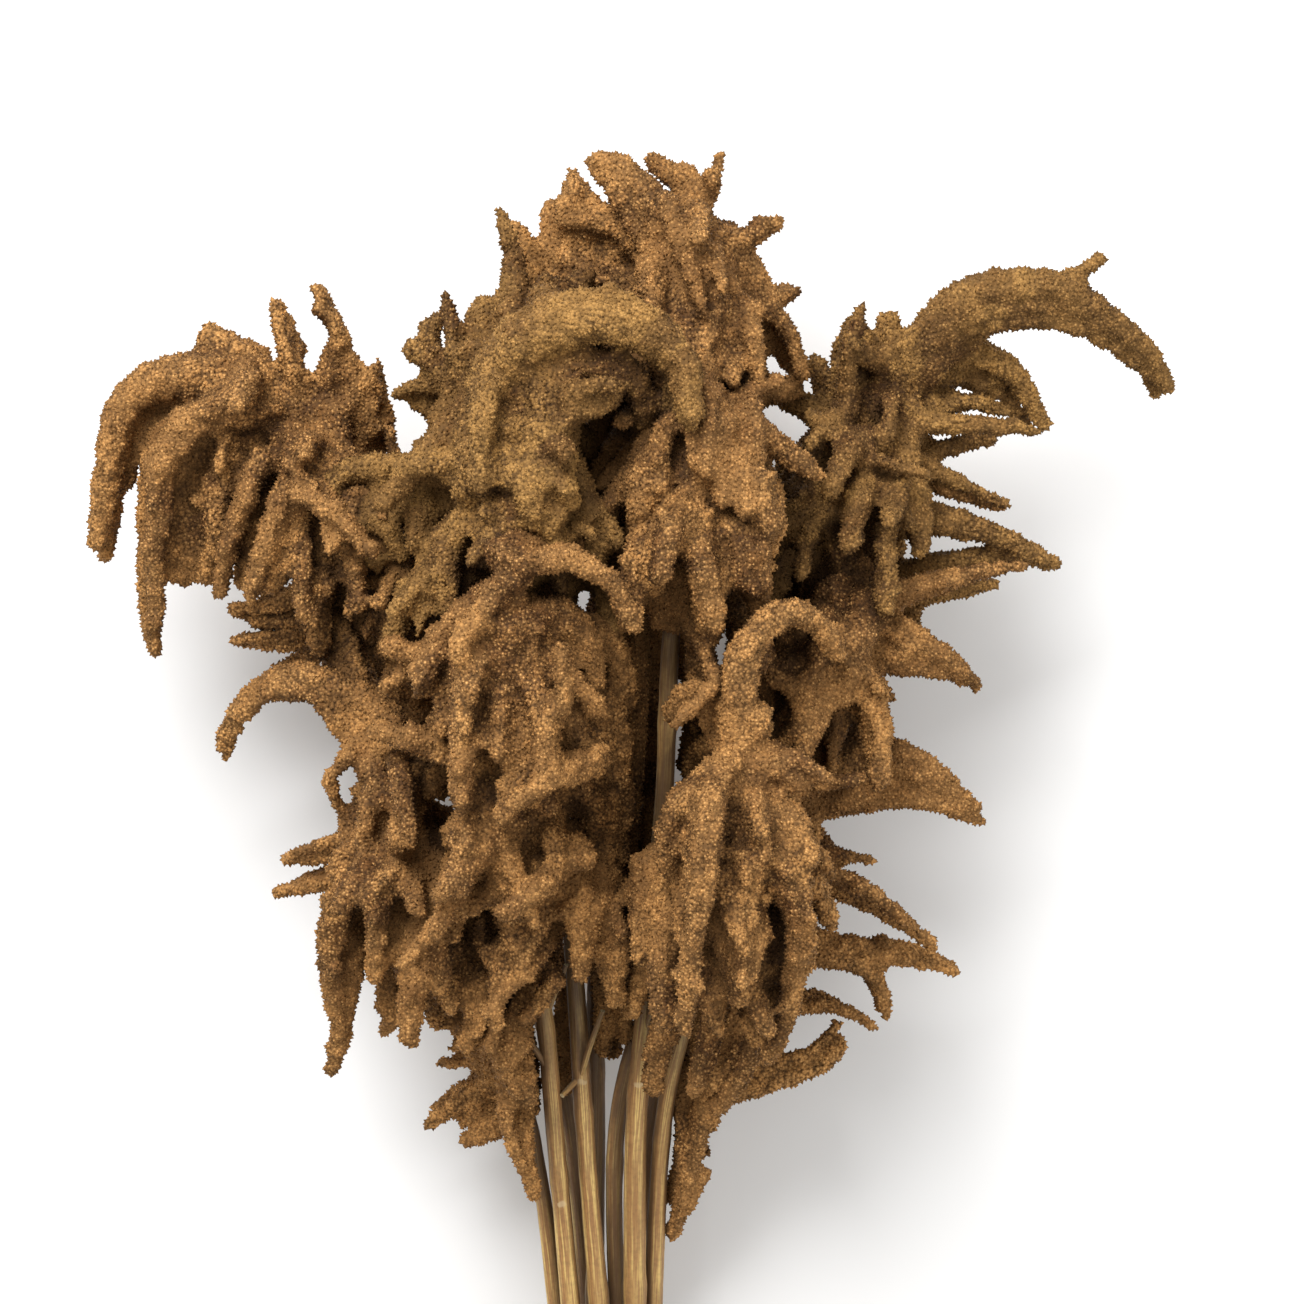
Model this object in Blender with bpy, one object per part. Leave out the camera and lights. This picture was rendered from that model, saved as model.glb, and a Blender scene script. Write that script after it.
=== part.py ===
"""A tied bunch of nine dried amaranth stems with their seed heads, laid on a table.

The bunch lies along Y: cut ends towards -Y, seed heads towards +Y, the table at z = 0.
Each stem has two solids, its bare stalk and its seed head. A seed head is a core along the
rachis with flower spikes ("tails") fused to it. Lengths are in millimetres up to the meshes,
which are in metres.
"""
import math
import random

import bmesh
import bpy
import numpy as np
from mathutils import Vector
from mathutils.kdtree import KDTree

MM = 0.001

# Driving dimensions, in millimetres
CUT_END_Y = -200.0          # where the stalks were cut
TIE_Y = -68.0               # middle of the tie
TIE_WIDTH = 11.0            # four turns of twine side by side
TIE_THICK = 2.6
TIE_TURNS = 4
TIE_SEGMENTS = 24
TIE_GAP = 0.4               # between the twine and the nearest stalk
TIE_ROOM = 1.08             # allows for the ridges of the stalks
TIE_VALLEY = 0.55           # depth left between two turns of twine, as a share of its thickness
TIE_STRAIGHT = 12.0         # the stalks run straight this far on each side of the tie
BUNDLE_X = -8.5             # middle of the stalks at the tie
STALK_PITCH = 10.4          # from stalk to stalk where the tie holds them
STALK_ROW = 8.9             # from row to row there
BUTT_SPREAD = 1.12          # how far the cut ends fan out again below the tie
PIECE_GAP = 0.3             # between a stalk's top and its seed head
COLLAR = 1.5                # straight length of stalk and core on each side of that gap
PRESS = 3.0                 # how far a tail that lies on the table is pressed flat
CLEARANCE = 1.4             # least distance kept between two stems
RING_STEP = 18.0            # from ring to ring along a tail
CORE_STEP = 20.0            # from ring to ring along a core
STALK_STEP = 44.0           # from ring to ring along a stalk
TWIG_STEP = 8.0             # from ring to ring along a bare side shoot
ROUTE_STEP = 1.0            # from point to point along a stem's whole route
PATH_STEP = 4.0             # from point to point where routes are pushed apart
SPAN_POINTS = 12            # points on the curve between two points of a route
RELIEF = 0.12               # how far the flower clusters stand out, as a share of the radius
FILL_FROM = 0.25            # share of the rachis where the filling tails begin
FILL_TO = 0.85              # and where they end
FILL_LOWEST = 12.0          # least height of a filling tail over the table
FILL_THICK = (14.0, 9.0)    # its thickness at the root and at the tip
FILL_REACH = (8.0, 15.0)    # how far it stands out from the core, from and to
FILL_DROOP = (30.0, 42.0)   # how far it hangs down, from and to
FILL_BENDS = ((0.75, 0.15), (1.0, -0.25), (1.0, -1.0))  # shares of reach and droop on its way
TAIL_SWELL = 0.10           # a tail is this share fuller a little way out
TAIL_TAPER = 1.2            # over 1, the taper is gentler near the root
ROOT_NARROWING = 0.75       # radius of a tail's first ring, which lies in the core
TIP_NARROWING = 0.62        # radius of its last ring
HELD_LENGTH = 20.0          # a tail bends away from others more and more over this length
CORE_NECK = 0.55            # radius of a core where its stalk ends, as a share
CORE_OPENING = 1.5          # how fast it widens along the rachis
CORE_CLOSES = 0.8           # share of the rachis where it starts to close
CORE_CLOSING = 1.6          # how fast it closes
JOINT_SWELL = 0.05          # swelling at an old leaf joint, as a share of the radius
JOINT_EVERY = 3             # rings from joint to joint
PUSH_ROUNDS = 120           # most rounds of pushing stems apart
PAIR_ROUNDS = 16            # the neighbours are found again after so many rounds
PUSH_REACH = 12.0           # neighbours are looked for this far beyond touching
PUSH_SIDEWAYS = 0.35        # how much a push goes sideways, so that the outline is kept
PUSH_STRENGTH = 0.6         # share of a push taken in one round
CROSSING = 6.0              # routes nearer than this are taken to cross and part up and down
TWIG_THICK = 3.2            # thickness of a bare side shoot
TWIG_TAPER = 0.75           # its tip, as a share of that
TWIG_DROP = (0.0, 9.0, 0.0)  # a side shoot leaves its stalk this far below its first bend
GOLDEN_ANGLE = 2.39996      # turn from one filling tail to the next
TAIL_SIDES = 5
CORE_SIDES = 8
STALK_SIDES = 7
TWIG_SIDES = 5
STALK_RIBS = 0.03           # height of a stalk's ribs, as a share of its radius
CORE_RELIEF = 0.6           # relief of a core, as a share of a tail's
SHARP_ANGLE = 50.0          # edges bent by more than this stay sharp
SEED = 12

# Height of the bundle's middle over the table at a distance Y along it
AXIS_HEIGHT = ((-200.0, 12.6), (-68.0, 31.0), (60.0, 51.0))

# Each stem: its place in the bundle (column, row), its stalk's thickness at the cut end and at
# the top, its stalk's route above the tie, the routes of its bare broken side shoots, its rachis,
# the core's thickness, how many more tails fill it out by rule, and the tails that can be told
# apart.
# A tail is: where it leaves the rachis (0 base, 1 top, or None when it forks from a
# sibling), thickness at the root and at the tip, and its route out to the tip.
STEMS = {
    "far_left": {
        "place": (-1, -1), "thick": (8.2, 6.0), "butt": 4,
        "stalk": [(-23, 60, 39), (-37, 110, 44), (-60, 175, 56), (-77, 215, 66)],
        "rachis": [(-77, 215, 66), (-98, 272, 78), (-125, 328, 88)], "core": 42, "fill": 5,
        "tails": [
            (1.0, 17, 9, [(-155, 334, 93), (-173, 332, 97), (-184, 321, 94), (-188, 304, 88),
                          (-190, 287, 81), (-192, 267, 74)]),
            (0.9, 18, 6, [(-140, 323, 108), (-156, 319, 112), (-167, 305, 109), (-169, 287, 103),
                          (-171, 268, 97), (-172, 250, 91), (-172, 232, 86)]),
            (1.0, 10, 5, [(-133, 342, 82), (-144, 349, 80), (-154, 352, 76)]),
            (1.0, 13, 5, [(-138, 336, 98), (-148, 343, 98), (-157, 349, 95)]),
            (1.0, 9, 5, [(-119, 342, 92), (-124, 352, 94), (-129, 363, 95)]),
            (0.9, 14, 5, [(-104, 340, 100), (-107, 354, 104), (-114, 368, 106)]),
            (0.7, 7, 5, [(-98, 315, 92), (-91, 328, 94), (-91, 342, 95)]),
            (0.5, 8, 5, [(-88, 290, 92), (-84, 304, 96), (-87, 318, 98)]),
            (0.9, 13, 6, [(-145, 306, 100), (-155, 285, 92), (-162, 257, 84)]),
            (0.8, 13, 7, [(-132, 302, 114), (-141, 280, 111), (-149, 253, 102)]),
            (0.7, 14, 8, [(-118, 300, 118), (-128, 278, 120), (-136, 252, 112)]),
            (0.6, 12, 8, [(-116, 298, 106), (-117, 274, 116), (-116, 244, 114)]),
            (0.6, 13, 7, [(-98, 300, 112), (-99, 276, 122), (-96, 247, 124)]),
            (0.4, 9, 4, [(-118, 262, 84), (-133, 250, 82), (-147, 249, 78)]),
            (0.2, 9, 5, [(-104, 248, 84), (-128, 241, 82), (-146, 239, 78)]),
            (0.1, 8, 4, [(-98, 236, 78), (-116, 234, 74), (-129, 230, 70)]),
            (0.5, 13, 7, [(-117, 292, 130), (-104, 285, 136), (-89, 267, 136)]),
            (0.3, 15, 11, [(-97, 260, 46), (-103, 252, 18), (-108, 238, 4), (-112, 220, 4)]),
            (0.8, 12, 8, [(-120, 300, 62), (-132, 290, 44)]),
        ],
    },
    "low_left": {
        "place": (-3, 0), "thick": (7.6, 5.4), "butt": -3,
        "stalk": [(-31, 20, 46), (-34, 42, 52), (-40, 72, 63)],
        "rachis": [(-40, 72, 63), (-60, 120, 86), (-90, 190, 104)], "core": 32, "fill": 4,
        "tails": [
            (1.0, 12, 4, [(-114, 222, 104), (-130, 221, 100), (-140, 213, 92), (-145, 204, 84),
                          (-148, 195, 76)]),
            (1.0, 10, 4, [(-103, 200, 112), (-108, 189, 108), (-105, 180, 103), (-104, 175, 100)]),
            (0.8, 8, 5, [(-96, 169, 92), (-114, 164, 86), (-126, 160, 80)]),
            (0.7, 8, 5, [(-94, 159, 84), (-112, 154, 74), (-129, 148, 66)]),
            (0.8, 16, 5, [(-96, 155, 112), (-106, 138, 112), (-108, 122, 104), (-105, 106, 96),
                          (-106, 92, 87), (-108, 80, 78)]),
            (0.5, 9, 5, [(-76, 114, 76), (-84, 105, 68), (-91, 99, 62)]),
            (0.6, 8, 5, [(-82, 132, 80), (-83, 118, 74), (-81, 106, 68)]),
            (0.4, 7, 5, [(-56, 103, 96), (-69, 99, 98)]),
            (0.2, 7, 5, [(-52, 93, 88), (-66, 91, 86)]),
            (0.1, 7, 5, [(-55, 84, 72), (-71, 84, 66)]),
            (0.1, 9, 4, [(-46, 82, 52), (-58, 75, 40), (-67, 68, 34), (-76, 63, 30)]),
            (0.2, 9, 5, [(-54, 72, 62), (-55, 63, 55), (-64, 58, 50)]),
            (0.2, 9, 5, [(-46, 80, 84), (-44, 60, 84), (-39, 43, 78)]),
            (0.8, 13, 7, [(-88, 156, 124), (-90, 138, 124), (-91, 116, 112)]),
            (0.7, 13, 8, [(-66, 156, 118), (-67, 136, 122), (-66, 116, 116)]),
            (0.9, 12, 8, [(-74, 192, 122), (-82, 180, 130), (-83, 164, 128)]),
            (0.9, 13, 8, [(-96, 176, 80), (-104, 168, 52), (-106, 160, 30)]),
        ],
    },
    "front_left": {
        "place": (-2, 1), "thick": (8.6, 6.0), "butt": 2,
        "stalk": [(-28, 60, 64), (-31, 100, 82), (-34, 122, 97)],
        "twigs": [[(-27, 112, 91), (-23, 122, 96)]],
        "rachis": [(-34, 122, 97), (-42, 185, 132), (-42, 250, 164)], "core": 36, "fill": 4,
        "tails": [
            (1.0, 11, 9, [(-46, 257, 174), (-52, 248, 176), (-54, 239, 172)]),
            (1.0, 12, 9, [(-36, 265, 170), (-21, 268, 176), (-6, 260, 174), (3, 241, 166)]),
            (0.7, 11, 7, [(-27, 206, 164), (-22, 220, 176), (-24, 239, 182)]),
            (0.6, 14, 8, [(-14, 196, 152), (-24, 193, 168), (-34, 187, 176), (-43, 180, 174)]),
            (0.4, 14, 8, [(-24, 162, 136), (-28, 155, 150), (-36, 149, 154), (-46, 141, 150)]),
            (0.3, 8, 5, [(-44, 150, 138), (-52, 147, 142), (-60, 142, 140)]),
            (0.1, 10, 8, [(-44, 132, 120), (-54, 127, 124)]),
            (0.4, 13, 12, [(-18, 164, 138), (-12, 160, 144)]),
            (0.8, 13, 8, [(-60, 226, 148), (-74, 235, 150), (-88, 238, 146)]),
            (0.6, 15, 8, [(-62, 198, 146), (-78, 206, 144), (-93, 208, 136)]),
            (0.3, 13, 8, [(-20, 148, 126), (-16, 132, 128), (-18, 116, 120)]),
            (0.4, 12, 8, [(-10, 154, 122), (-2, 136, 124), (-3, 117, 114)]),
            (0.1, 11, 7, [(-26, 118, 112), (-34, 106, 110), (-40, 100, 104)]),
            (0.8, 14, 9, [(-26, 232, 158), (-20, 222, 164), (-8, 212, 160)]),
            (0.7, 13, 9, [(-54, 212, 160), (-58, 196, 168), (-58, 178, 164)]),
            (0.5, 12, 8, [(-58, 178, 128), (-66, 166, 132)]),
        ],
    },
    "centre_left": {
        "place": (0, 1), "thick": (8.6, 5.6), "butt": 0,
        "stalk": [(-17, 60, 61), (-20, 110, 70), (-26, 185, 92), (-32, 240, 118)],
        "twigs": [[(-15, 90, 73), (-10, 104, 80)]],
        "rachis": [(-32, 240, 118), (-40, 295, 134), (-42, 345, 142)], "core": 42, "fill": 7,
        "tails": [
            (0.8, 20, 11, [(-44, 334, 158), (-33, 347, 166), (-18, 354, 168), (-2, 353, 168),
                           (12, 344, 166), (20, 329, 162), (19, 311, 156)]),
            (0.7, 12, 7, [(-27, 322, 164), (-14, 326, 178), (-3, 327, 182)]),
            (0.6, 12, 8, [(-32, 316, 166), (-24, 309, 176), (-20, 299, 176)]),
            (0.5, 12, 9, [(-52, 300, 156), (-40, 304, 166), (-27, 298, 172), (-18, 287, 170)]),
            (None, 9, 8, [(-37, 302, 166), (-35, 290, 172), (-34, 278, 170)]),
            (0.4, 12, 8, [(-58, 294, 140), (-72, 299, 138), (-85, 300, 132)]),
            (0.9, 12, 5, [(-60, 338, 136), (-65, 350, 136), (-65, 363, 134)]),
            (0.8, 13, 5, [(-62, 328, 130), (-72, 338, 130), (-79, 347, 128)]),
            (0.6, 14, 8, [(-60, 314, 122), (-70, 321, 116), (-78, 326, 112)]),
            (1.0, 14, 5, [(-40, 364, 130), (-43, 380, 128), (-46, 393, 126)]),
            (0.4, 14, 9, [(-60, 284, 142), (-66, 270, 150), (-67, 253, 148)]),
            (0.3, 13, 8, [(-54, 274, 142), (-68, 266, 136), (-83, 254, 130)]),
            (0.4, 13, 8, [(-34, 284, 158), (-48, 274, 166), (-52, 262, 164)]),
            (0.4, 13, 9, [(-20, 290, 146), (-8, 284, 152), (3, 272, 150)]),
            (0.9, 14, 9, [(-24, 360, 124), (-12, 370, 120)]),
        ],
    },
    "top": {
        "place": (-1, 0), "thick": (8.2, 5.6), "butt": -4,
        "stalk": [(-13, 60, 46), (-13, 110, 53), (-6, 200, 72), (2, 262, 86)],
        "rachis": [(2, 262, 86), (16, 330, 102), (22, 390, 110)], "core": 42, "fill": 7,
        "tails": [
            (0.9, 15, 4, [(4, 382, 124), (-3, 396, 122), (-9, 405, 118), (-17, 412, 114)]),
            (None, 8, 4, [(2, 388, 118), (-11, 393, 112), (-17, 401, 108), (-22, 409, 104)]),
            (1.0, 10, 5, [(30, 402, 108), (33, 415, 106)]),
            (1.0, 13, 7, [(19, 402, 114), (12, 409, 114), (5, 411, 110)]),
            (1.0, 13, 8, [(26, 396, 122), (32, 406, 124)]),
            (0.9, 13, 6, [(36, 380, 116), (46, 385, 116), (55, 390, 112)]),
            (0.8, 13, 7, [(-8, 366, 108), (-25, 372, 104), (-31, 386, 102), (-28, 399, 98)]),
            (0.7, 10, 4, [(36, 352, 106), (49, 359, 104), (63, 365, 100)]),
            (0.7, 12, 7, [(42, 356, 94), (52, 349, 90), (61, 335, 84)]),
            (0.9, 17, 10, [(20, 384, 134), (24, 366, 142), (30, 346, 142), (34, 326, 138)]),
            (0.8, 14, 8, [(34, 368, 126), (40, 352, 130), (42, 330, 126)]),
            (0.9, 15, 9, [(8, 376, 130), (6, 362, 132), (12, 350, 134)]),
            (0.5, 14, 11, [(22, 306, 58), (27, 304, 26), (31, 294, 5), (33, 276, 4)]),
            (0.6, 14, 9, [(-4, 330, 76), (-14, 326, 50), (-18, 322, 30)]),
            (0.3, 12, 8, [(-12, 284, 74), (-26, 276, 60), (-34, 270, 44)]),
        ],
    },
    "centre_right": {
        "place": (2, 1), "thick": (10.0, 6.2), "butt": 3,
        "stalk": [(2, 60, 63), (6, 110, 82), (12, 180, 106), (15, 244, 124)],
        "rachis": [(15, 244, 124), (21, 284, 136), (30, 324, 142)], "core": 34, "fill": 6,
        "tails": [
            (0.6, 13, 9, [(34, 300, 158), (45, 295, 164), (50, 284, 164), (48, 272, 158)]),
            (0.5, 13, 9, [(36, 282, 152), (42, 270, 156), (37, 256, 152)]),
            (0.6, 12, 9, [(18, 284, 162), (12, 272, 172), (9, 256, 170)]),
            (0.5, 15, 10, [(23, 276, 160), (27, 257, 164), (30, 240, 158)]),
            (0.1, 9, 7, [(25, 238, 140), (31, 224, 152), (23, 217, 158), (14, 208, 158)]),
            (0.9, 12, 6, [(44, 327, 136), (56, 332, 132)]),
            (0.5, 12, 8, [(6, 290, 134), (-4, 280, 132), (-10, 268, 128)]),
            (0.9, 13, 8, [(20, 320, 158), (8, 306, 156), (4, 296, 158)]),
            (0.3, 12, 8, [(4, 256, 138), (-4, 244, 142)]),
            (1.0, 13, 9, [(46, 310, 148), (58, 308, 146), (64, 296, 140)]),
        ],
    },
    "right_arch": {
        "place": (2, -1), "thick": (8.6, 6.0), "butt": 4,
        "stalk": [(8, 60, 38), (22, 110, 39), (44, 185, 44), (60, 232, 54)],
        "rachis": [(60, 232, 54), (80, 285, 68), (96, 330, 82)], "core": 40, "fill": 5,
        "tails": [
            (1.0, 18, 5, [(104, 346, 90), (117, 356, 97), (134, 362, 101), (151, 362, 100),
                          (167, 359, 95), (180, 349, 88), (188, 338, 82), (193, 326, 76)]),
            (None, 8, 4, [(152, 363, 98), (160, 370, 98), (172, 378, 96)]),
            (0.8, 12, 5, [(77, 330, 104), (79, 345, 110), (84, 360, 112)]),
            (1.0, 12, 6, [(88, 346, 84), (94, 359, 84)]),
            (0.9, 14, 4, [(109, 335, 78), (124, 336, 74), (138, 329, 70), (149, 314, 66)]),
            (0.9, 13, 4, [(104, 318, 92), (125, 317, 96), (150, 314, 94)]),
            (0.6, 9, 5, [(80, 303, 108), (95, 302, 118), (108, 297, 118)]),
            (0.6, 13, 4, [(98, 305, 88), (116, 298, 88), (138, 287, 84)]),
            (0.4, 14, 4, [(96, 286, 84), (118, 284, 86), (138, 277, 84), (157, 265, 78)]),
            (0.7, 13, 8, [(72, 316, 102), (62, 320, 112)]),
            (0.5, 13, 9, [(66, 292, 96), (56, 284, 100), (52, 268, 98)]),
            (0.6, 14, 9, [(84, 296, 112), (80, 284, 122), (76, 268, 120)]),
            (0.3, 15, 11, [(76, 256, 40), (81, 248, 16), (86, 235, 4), (90, 217, 4)]),
            (0.8, 12, 8, [(102, 308, 62), (114, 302, 44)]),
            (0.5, 12, 8, [(88, 276, 100), (92, 262, 108), (90, 246, 104)]),
        ],
    },
    "right_mid": {
        "place": (1, 0), "thick": (7.8, 5.4), "butt": -2,
        "stalk": [(-5, 60, 52), (6, 104, 60), (20, 132, 64)],
        "rachis": [(20, 132, 64), (48, 188, 78), (82, 248, 92)], "core": 36, "fill": 4,
        "tails": [
            (0.7, 15, 8, [(42, 236, 122), (55, 249, 130), (67, 246, 132), (76, 232, 128)]),
            (1.0, 16, 4, [(97, 242, 98), (112, 235, 98), (127, 222, 92)]),
            (0.9, 8, 5, [(84, 226, 96), (95, 218, 94)]),
            (0.8, 8, 5, [(72, 207, 92), (87, 215, 90)]),
            (0.5, 15, 4, [(66, 195, 88), (86, 194, 88), (103, 191, 86), (116, 184, 82),
                          (129, 173, 76)]),
            (0.4, 10, 7, [(58, 186, 104), (70, 186, 114), (83, 190, 114)]),
            (0.3, 9, 4, [(54, 166, 76), (72, 162, 76), (89, 159, 74)]),
            (0.2, 13, 4, [(52, 156, 92), (68, 156, 96), (84, 150, 94), (98, 139, 88),
                          (112, 128, 80)]),
            (0.1, 14, 4, [(48, 132, 66), (72, 127, 64), (96, 127, 60), (120, 120, 54)]),
            (None, 9, 4, [(74, 127, 64), (88, 122, 60), (93, 110, 56), (91, 102, 52)]),
            (0.1, 11, 4, [(40, 116, 56), (58, 108, 50), (72, 106, 46), (88, 99, 42)]),
            (0.15, 12, 4, [(36, 118, 72), (36, 94, 72), (45, 82, 70), (61, 87, 68), (75, 90, 64),
                          (79, 95, 62), (75, 100, 60)]),
            (None, 8, 4, [(36, 86, 70), (50, 93, 76), (61, 99, 78)]),
            (0.15, 13, 6, [(34, 114, 56), (27, 80, 54), (19, 48, 46), (14, 29, 42)]),
            (None, 7, 5, [(19, 46, 46), (25, 43, 44), (30, 50, 42)]),
            (1.0, 14, 4, [(100, 257, 96), (122, 263, 94), (146, 267, 88)]),
            (0.6, 14, 9, [(70, 200, 66), (80, 192, 42), (84, 186, 22)]),
            (0.9, 13, 8, [(64, 230, 108), (60, 216, 120), (62, 202, 122)]),
            (0.2, 13, 8, [(44, 140, 50), (52, 134, 30), (56, 130, 12)]),
        ],
    },
    "low_right": {
        "place": (3, 0), "thick": (8.2, 6.0), "butt": 1,
        "stalk": [(12, 60, 58), (19, 98, 80), (22, 116, 96)],
        "rachis": [(22, 116, 96), (30, 150, 126), (38, 192, 146)], "core": 32, "fill": 7,
        "tails": [
            (0.9, 15, 7, [(27, 190, 166), (27, 172, 174), (24, 150, 174), (21, 124, 164),
                          (19, 100, 152)]),
            (0.7, 15, 9, [(40, 168, 158), (39, 142, 158), (38, 110, 144)]),
            (0.9, 14, 8, [(51, 172, 156), (58, 152, 154), (60, 134, 148), (57, 114, 138),
                          (49, 88, 122)]),
            (0.5, 14, 8, [(46, 136, 136), (48, 110, 124), (41, 86, 108), (31, 67, 94)]),
            (0.2, 13, 8, [(32, 108, 114), (27, 90, 108), (22, 74, 98)]),
            (1.0, 13, 7, [(52, 194, 152), (64, 186, 148)]),
            (0.8, 13, 8, [(52, 164, 140), (66, 152, 138), (72, 136, 132)]),
            (1.0, 13, 8, [(40, 206, 154), (50, 216, 154)]),
        ],
    },
}

FLOWER_BROWN = (0.205, 0.100, 0.033)
GOLDEN_BROWN = (0.275, 0.150, 0.055)
STALK_TAN = (0.420, 0.260, 0.095)
TWINE_TAN = (0.480, 0.330, 0.170)

# The arched left-hand and right-hand heads are the paler ones
HEAD_COLOURS = {"right_arch": GOLDEN_BROWN, "centre_left": GOLDEN_BROWN}


def clear_scene():
    """Remove every object, so that the file holds only the bunch."""
    for obj in list(bpy.data.objects):
        bpy.data.objects.remove(obj, do_unlink=True)


def make_material(name, colour, roughness):
    """A plain Principled material."""
    material = bpy.data.materials.new(name)
    material.use_nodes = True
    shader = material.node_tree.nodes["Principled BSDF"]
    shader.inputs["Base Color"].default_value = (*colour, 1.0)
    shader.inputs["Roughness"].default_value = roughness
    shader.inputs["Metallic"].default_value = 0.0
    return material


def smooth_route(points, step):
    """Points about every step millimetres on a centripetal Catmull-Rom curve."""
    given = np.array(points, dtype=float)
    knots = np.vstack([2 * given[0] - given[1], given, 2 * given[-1] - given[-2]])
    fine = [given[0]]
    for p0, p1, p2, p3 in zip(knots, knots[1:], knots[2:], knots[3:]):
        t1 = math.sqrt(np.linalg.norm(p1 - p0))
        t2 = t1 + math.sqrt(np.linalg.norm(p2 - p1))
        t3 = t2 + math.sqrt(np.linalg.norm(p3 - p2))
        for t in np.linspace(t1, t2, SPAN_POINTS + 1)[1:]:
            a1 = (t1 - t) / t1 * p0 + t / t1 * p1
            a2 = (t2 - t) / (t2 - t1) * p1 + (t - t1) / (t2 - t1) * p2
            a3 = (t3 - t) / (t3 - t2) * p2 + (t - t2) / (t3 - t2) * p3
            b1 = (t2 - t) / t2 * a1 + t / t2 * a2
            b2 = (t3 - t) / (t3 - t1) * a2 + (t - t1) / (t3 - t1) * a3
            fine.append((t2 - t) / (t2 - t1) * b1 + (t - t1) / (t2 - t1) * b2)
    return resample(np.array(fine), step)


def arc_lengths(path):
    """Distance along the path of each of its points."""
    steps = np.linalg.norm(np.diff(path, axis=0), axis=1)
    return np.concatenate([[0.0], np.cumsum(steps)])


def point_at(path, distances):
    """The points at the given distances along the path."""
    along = arc_lengths(path)
    return np.column_stack([np.interp(distances, along, path[:, axis]) for axis in range(3)])


def resample(path, step):
    """The same path with evenly spaced points."""
    length = arc_lengths(path)[-1]
    count = max(2, round(length / step) + 1)
    return point_at(path, np.linspace(0.0, length, count))


def bundle_height(y):
    """Height over the table of the bundle's middle."""
    ys, heights = zip(*AXIS_HEIGHT)
    return float(np.interp(y, ys, heights))


def stem_routes(stem):
    """A stem's stalk and rachis, as one smooth line split where the seed head begins."""
    column, row = stem["place"]
    across = column * STALK_PITCH / 2
    up = row * STALK_ROW
    end_y = CUT_END_Y + stem["butt"]
    cut_end = (BUNDLE_X + BUTT_SPREAD * across, end_y, bundle_height(end_y) + BUTT_SPREAD * up)
    below = (BUNDLE_X + across, TIE_Y - TIE_STRAIGHT, bundle_height(TIE_Y - TIE_STRAIGHT) + up)
    above = (BUNDLE_X + across, TIE_Y + TIE_STRAIGHT, bundle_height(TIE_Y + TIE_STRAIGHT) + up)
    route = [cut_end, below, above] + stem["stalk"] + stem["rachis"][1:]
    whole = smooth_route(route, ROUTE_STEP)
    split = int(np.argmin(np.linalg.norm(whole - np.array(stem["rachis"][0]), axis=1)))
    return whole[:split + 1], whole[split:]


def tail_radius(share, root, tip):
    """Radius of a tail at a share of its length: fullest a little way out, then tapering."""
    swell = 1.0 + TAIL_SWELL * math.sin(math.pi * min(1.0, share * 1.6))
    return 0.5 * (root + (tip - root) * share ** TAIL_TAPER) * swell


class Chain:
    """A round piece as a path with a radius at each point, used to push routes apart."""

    def __init__(self, stem, path, radii, free):
        self.stem = stem
        self.path = path
        self.radii = radii
        self.free = free


def tail_chain(name, stem, tail, rachis):
    """A tail's path and radii. Its root stays, and its outer part may be pushed."""
    where, root, tip, route = tail
    start = [] if where is None else [point_at(rachis, [where * arc_lengths(rachis)[-1]])[0]]
    path = smooth_route(start + route, PATH_STEP)
    along = arc_lengths(path)
    radii = np.array([tail_radius(share, root, tip) for share in along / along[-1]])
    held = 0.5 * stem["core"] if where is not None else 0.0
    free = np.clip((along - held) / HELD_LENGTH, 0.0, 1.0)
    return Chain(name, path, radii, free)


def near_pairs(points, stem, reach):
    """Pairs of points of different stems that lie within reach of each other."""
    tree = KDTree(len(points))
    for index, point in enumerate(points):
        tree.insert(point, index)
    tree.balance()
    pairs = []
    for index, point in enumerate(points):
        for _, other, _ in tree.find_range(point, reach):
            if stem[other] != stem[index]:
                pairs.append((index, other))
    return np.array(pairs).T


def filling_tails(stem, rachis):
    """Short tails all round a seed head, which leave it sideways and then droop towards -Y."""
    tails = []
    reach = 0.5 * stem["core"]
    length = arc_lengths(rachis)[-1]
    for number in range(stem["fill"]):
        where = FILL_FROM + (FILL_TO - FILL_FROM) * (number + 0.5) / stem["fill"]
        start = point_at(rachis, [where * length])[0]
        angle = number * GOLDEN_ANGLE + random.uniform(-0.3, 0.3)
        side = np.array([math.cos(angle), 0.0, math.sin(angle)])
        out = reach + random.uniform(*FILL_REACH)
        droop = random.uniform(*FILL_DROOP)
        route = [start + side * out * share + np.array([0.0, fall * droop, 0.0])
                 for share, fall in FILL_BENDS]
        for point in route:
            point[2] = max(point[2], FILL_LOWEST)
        tails.append((where, *FILL_THICK, [tuple(point) for point in route]))
    return tails


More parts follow.
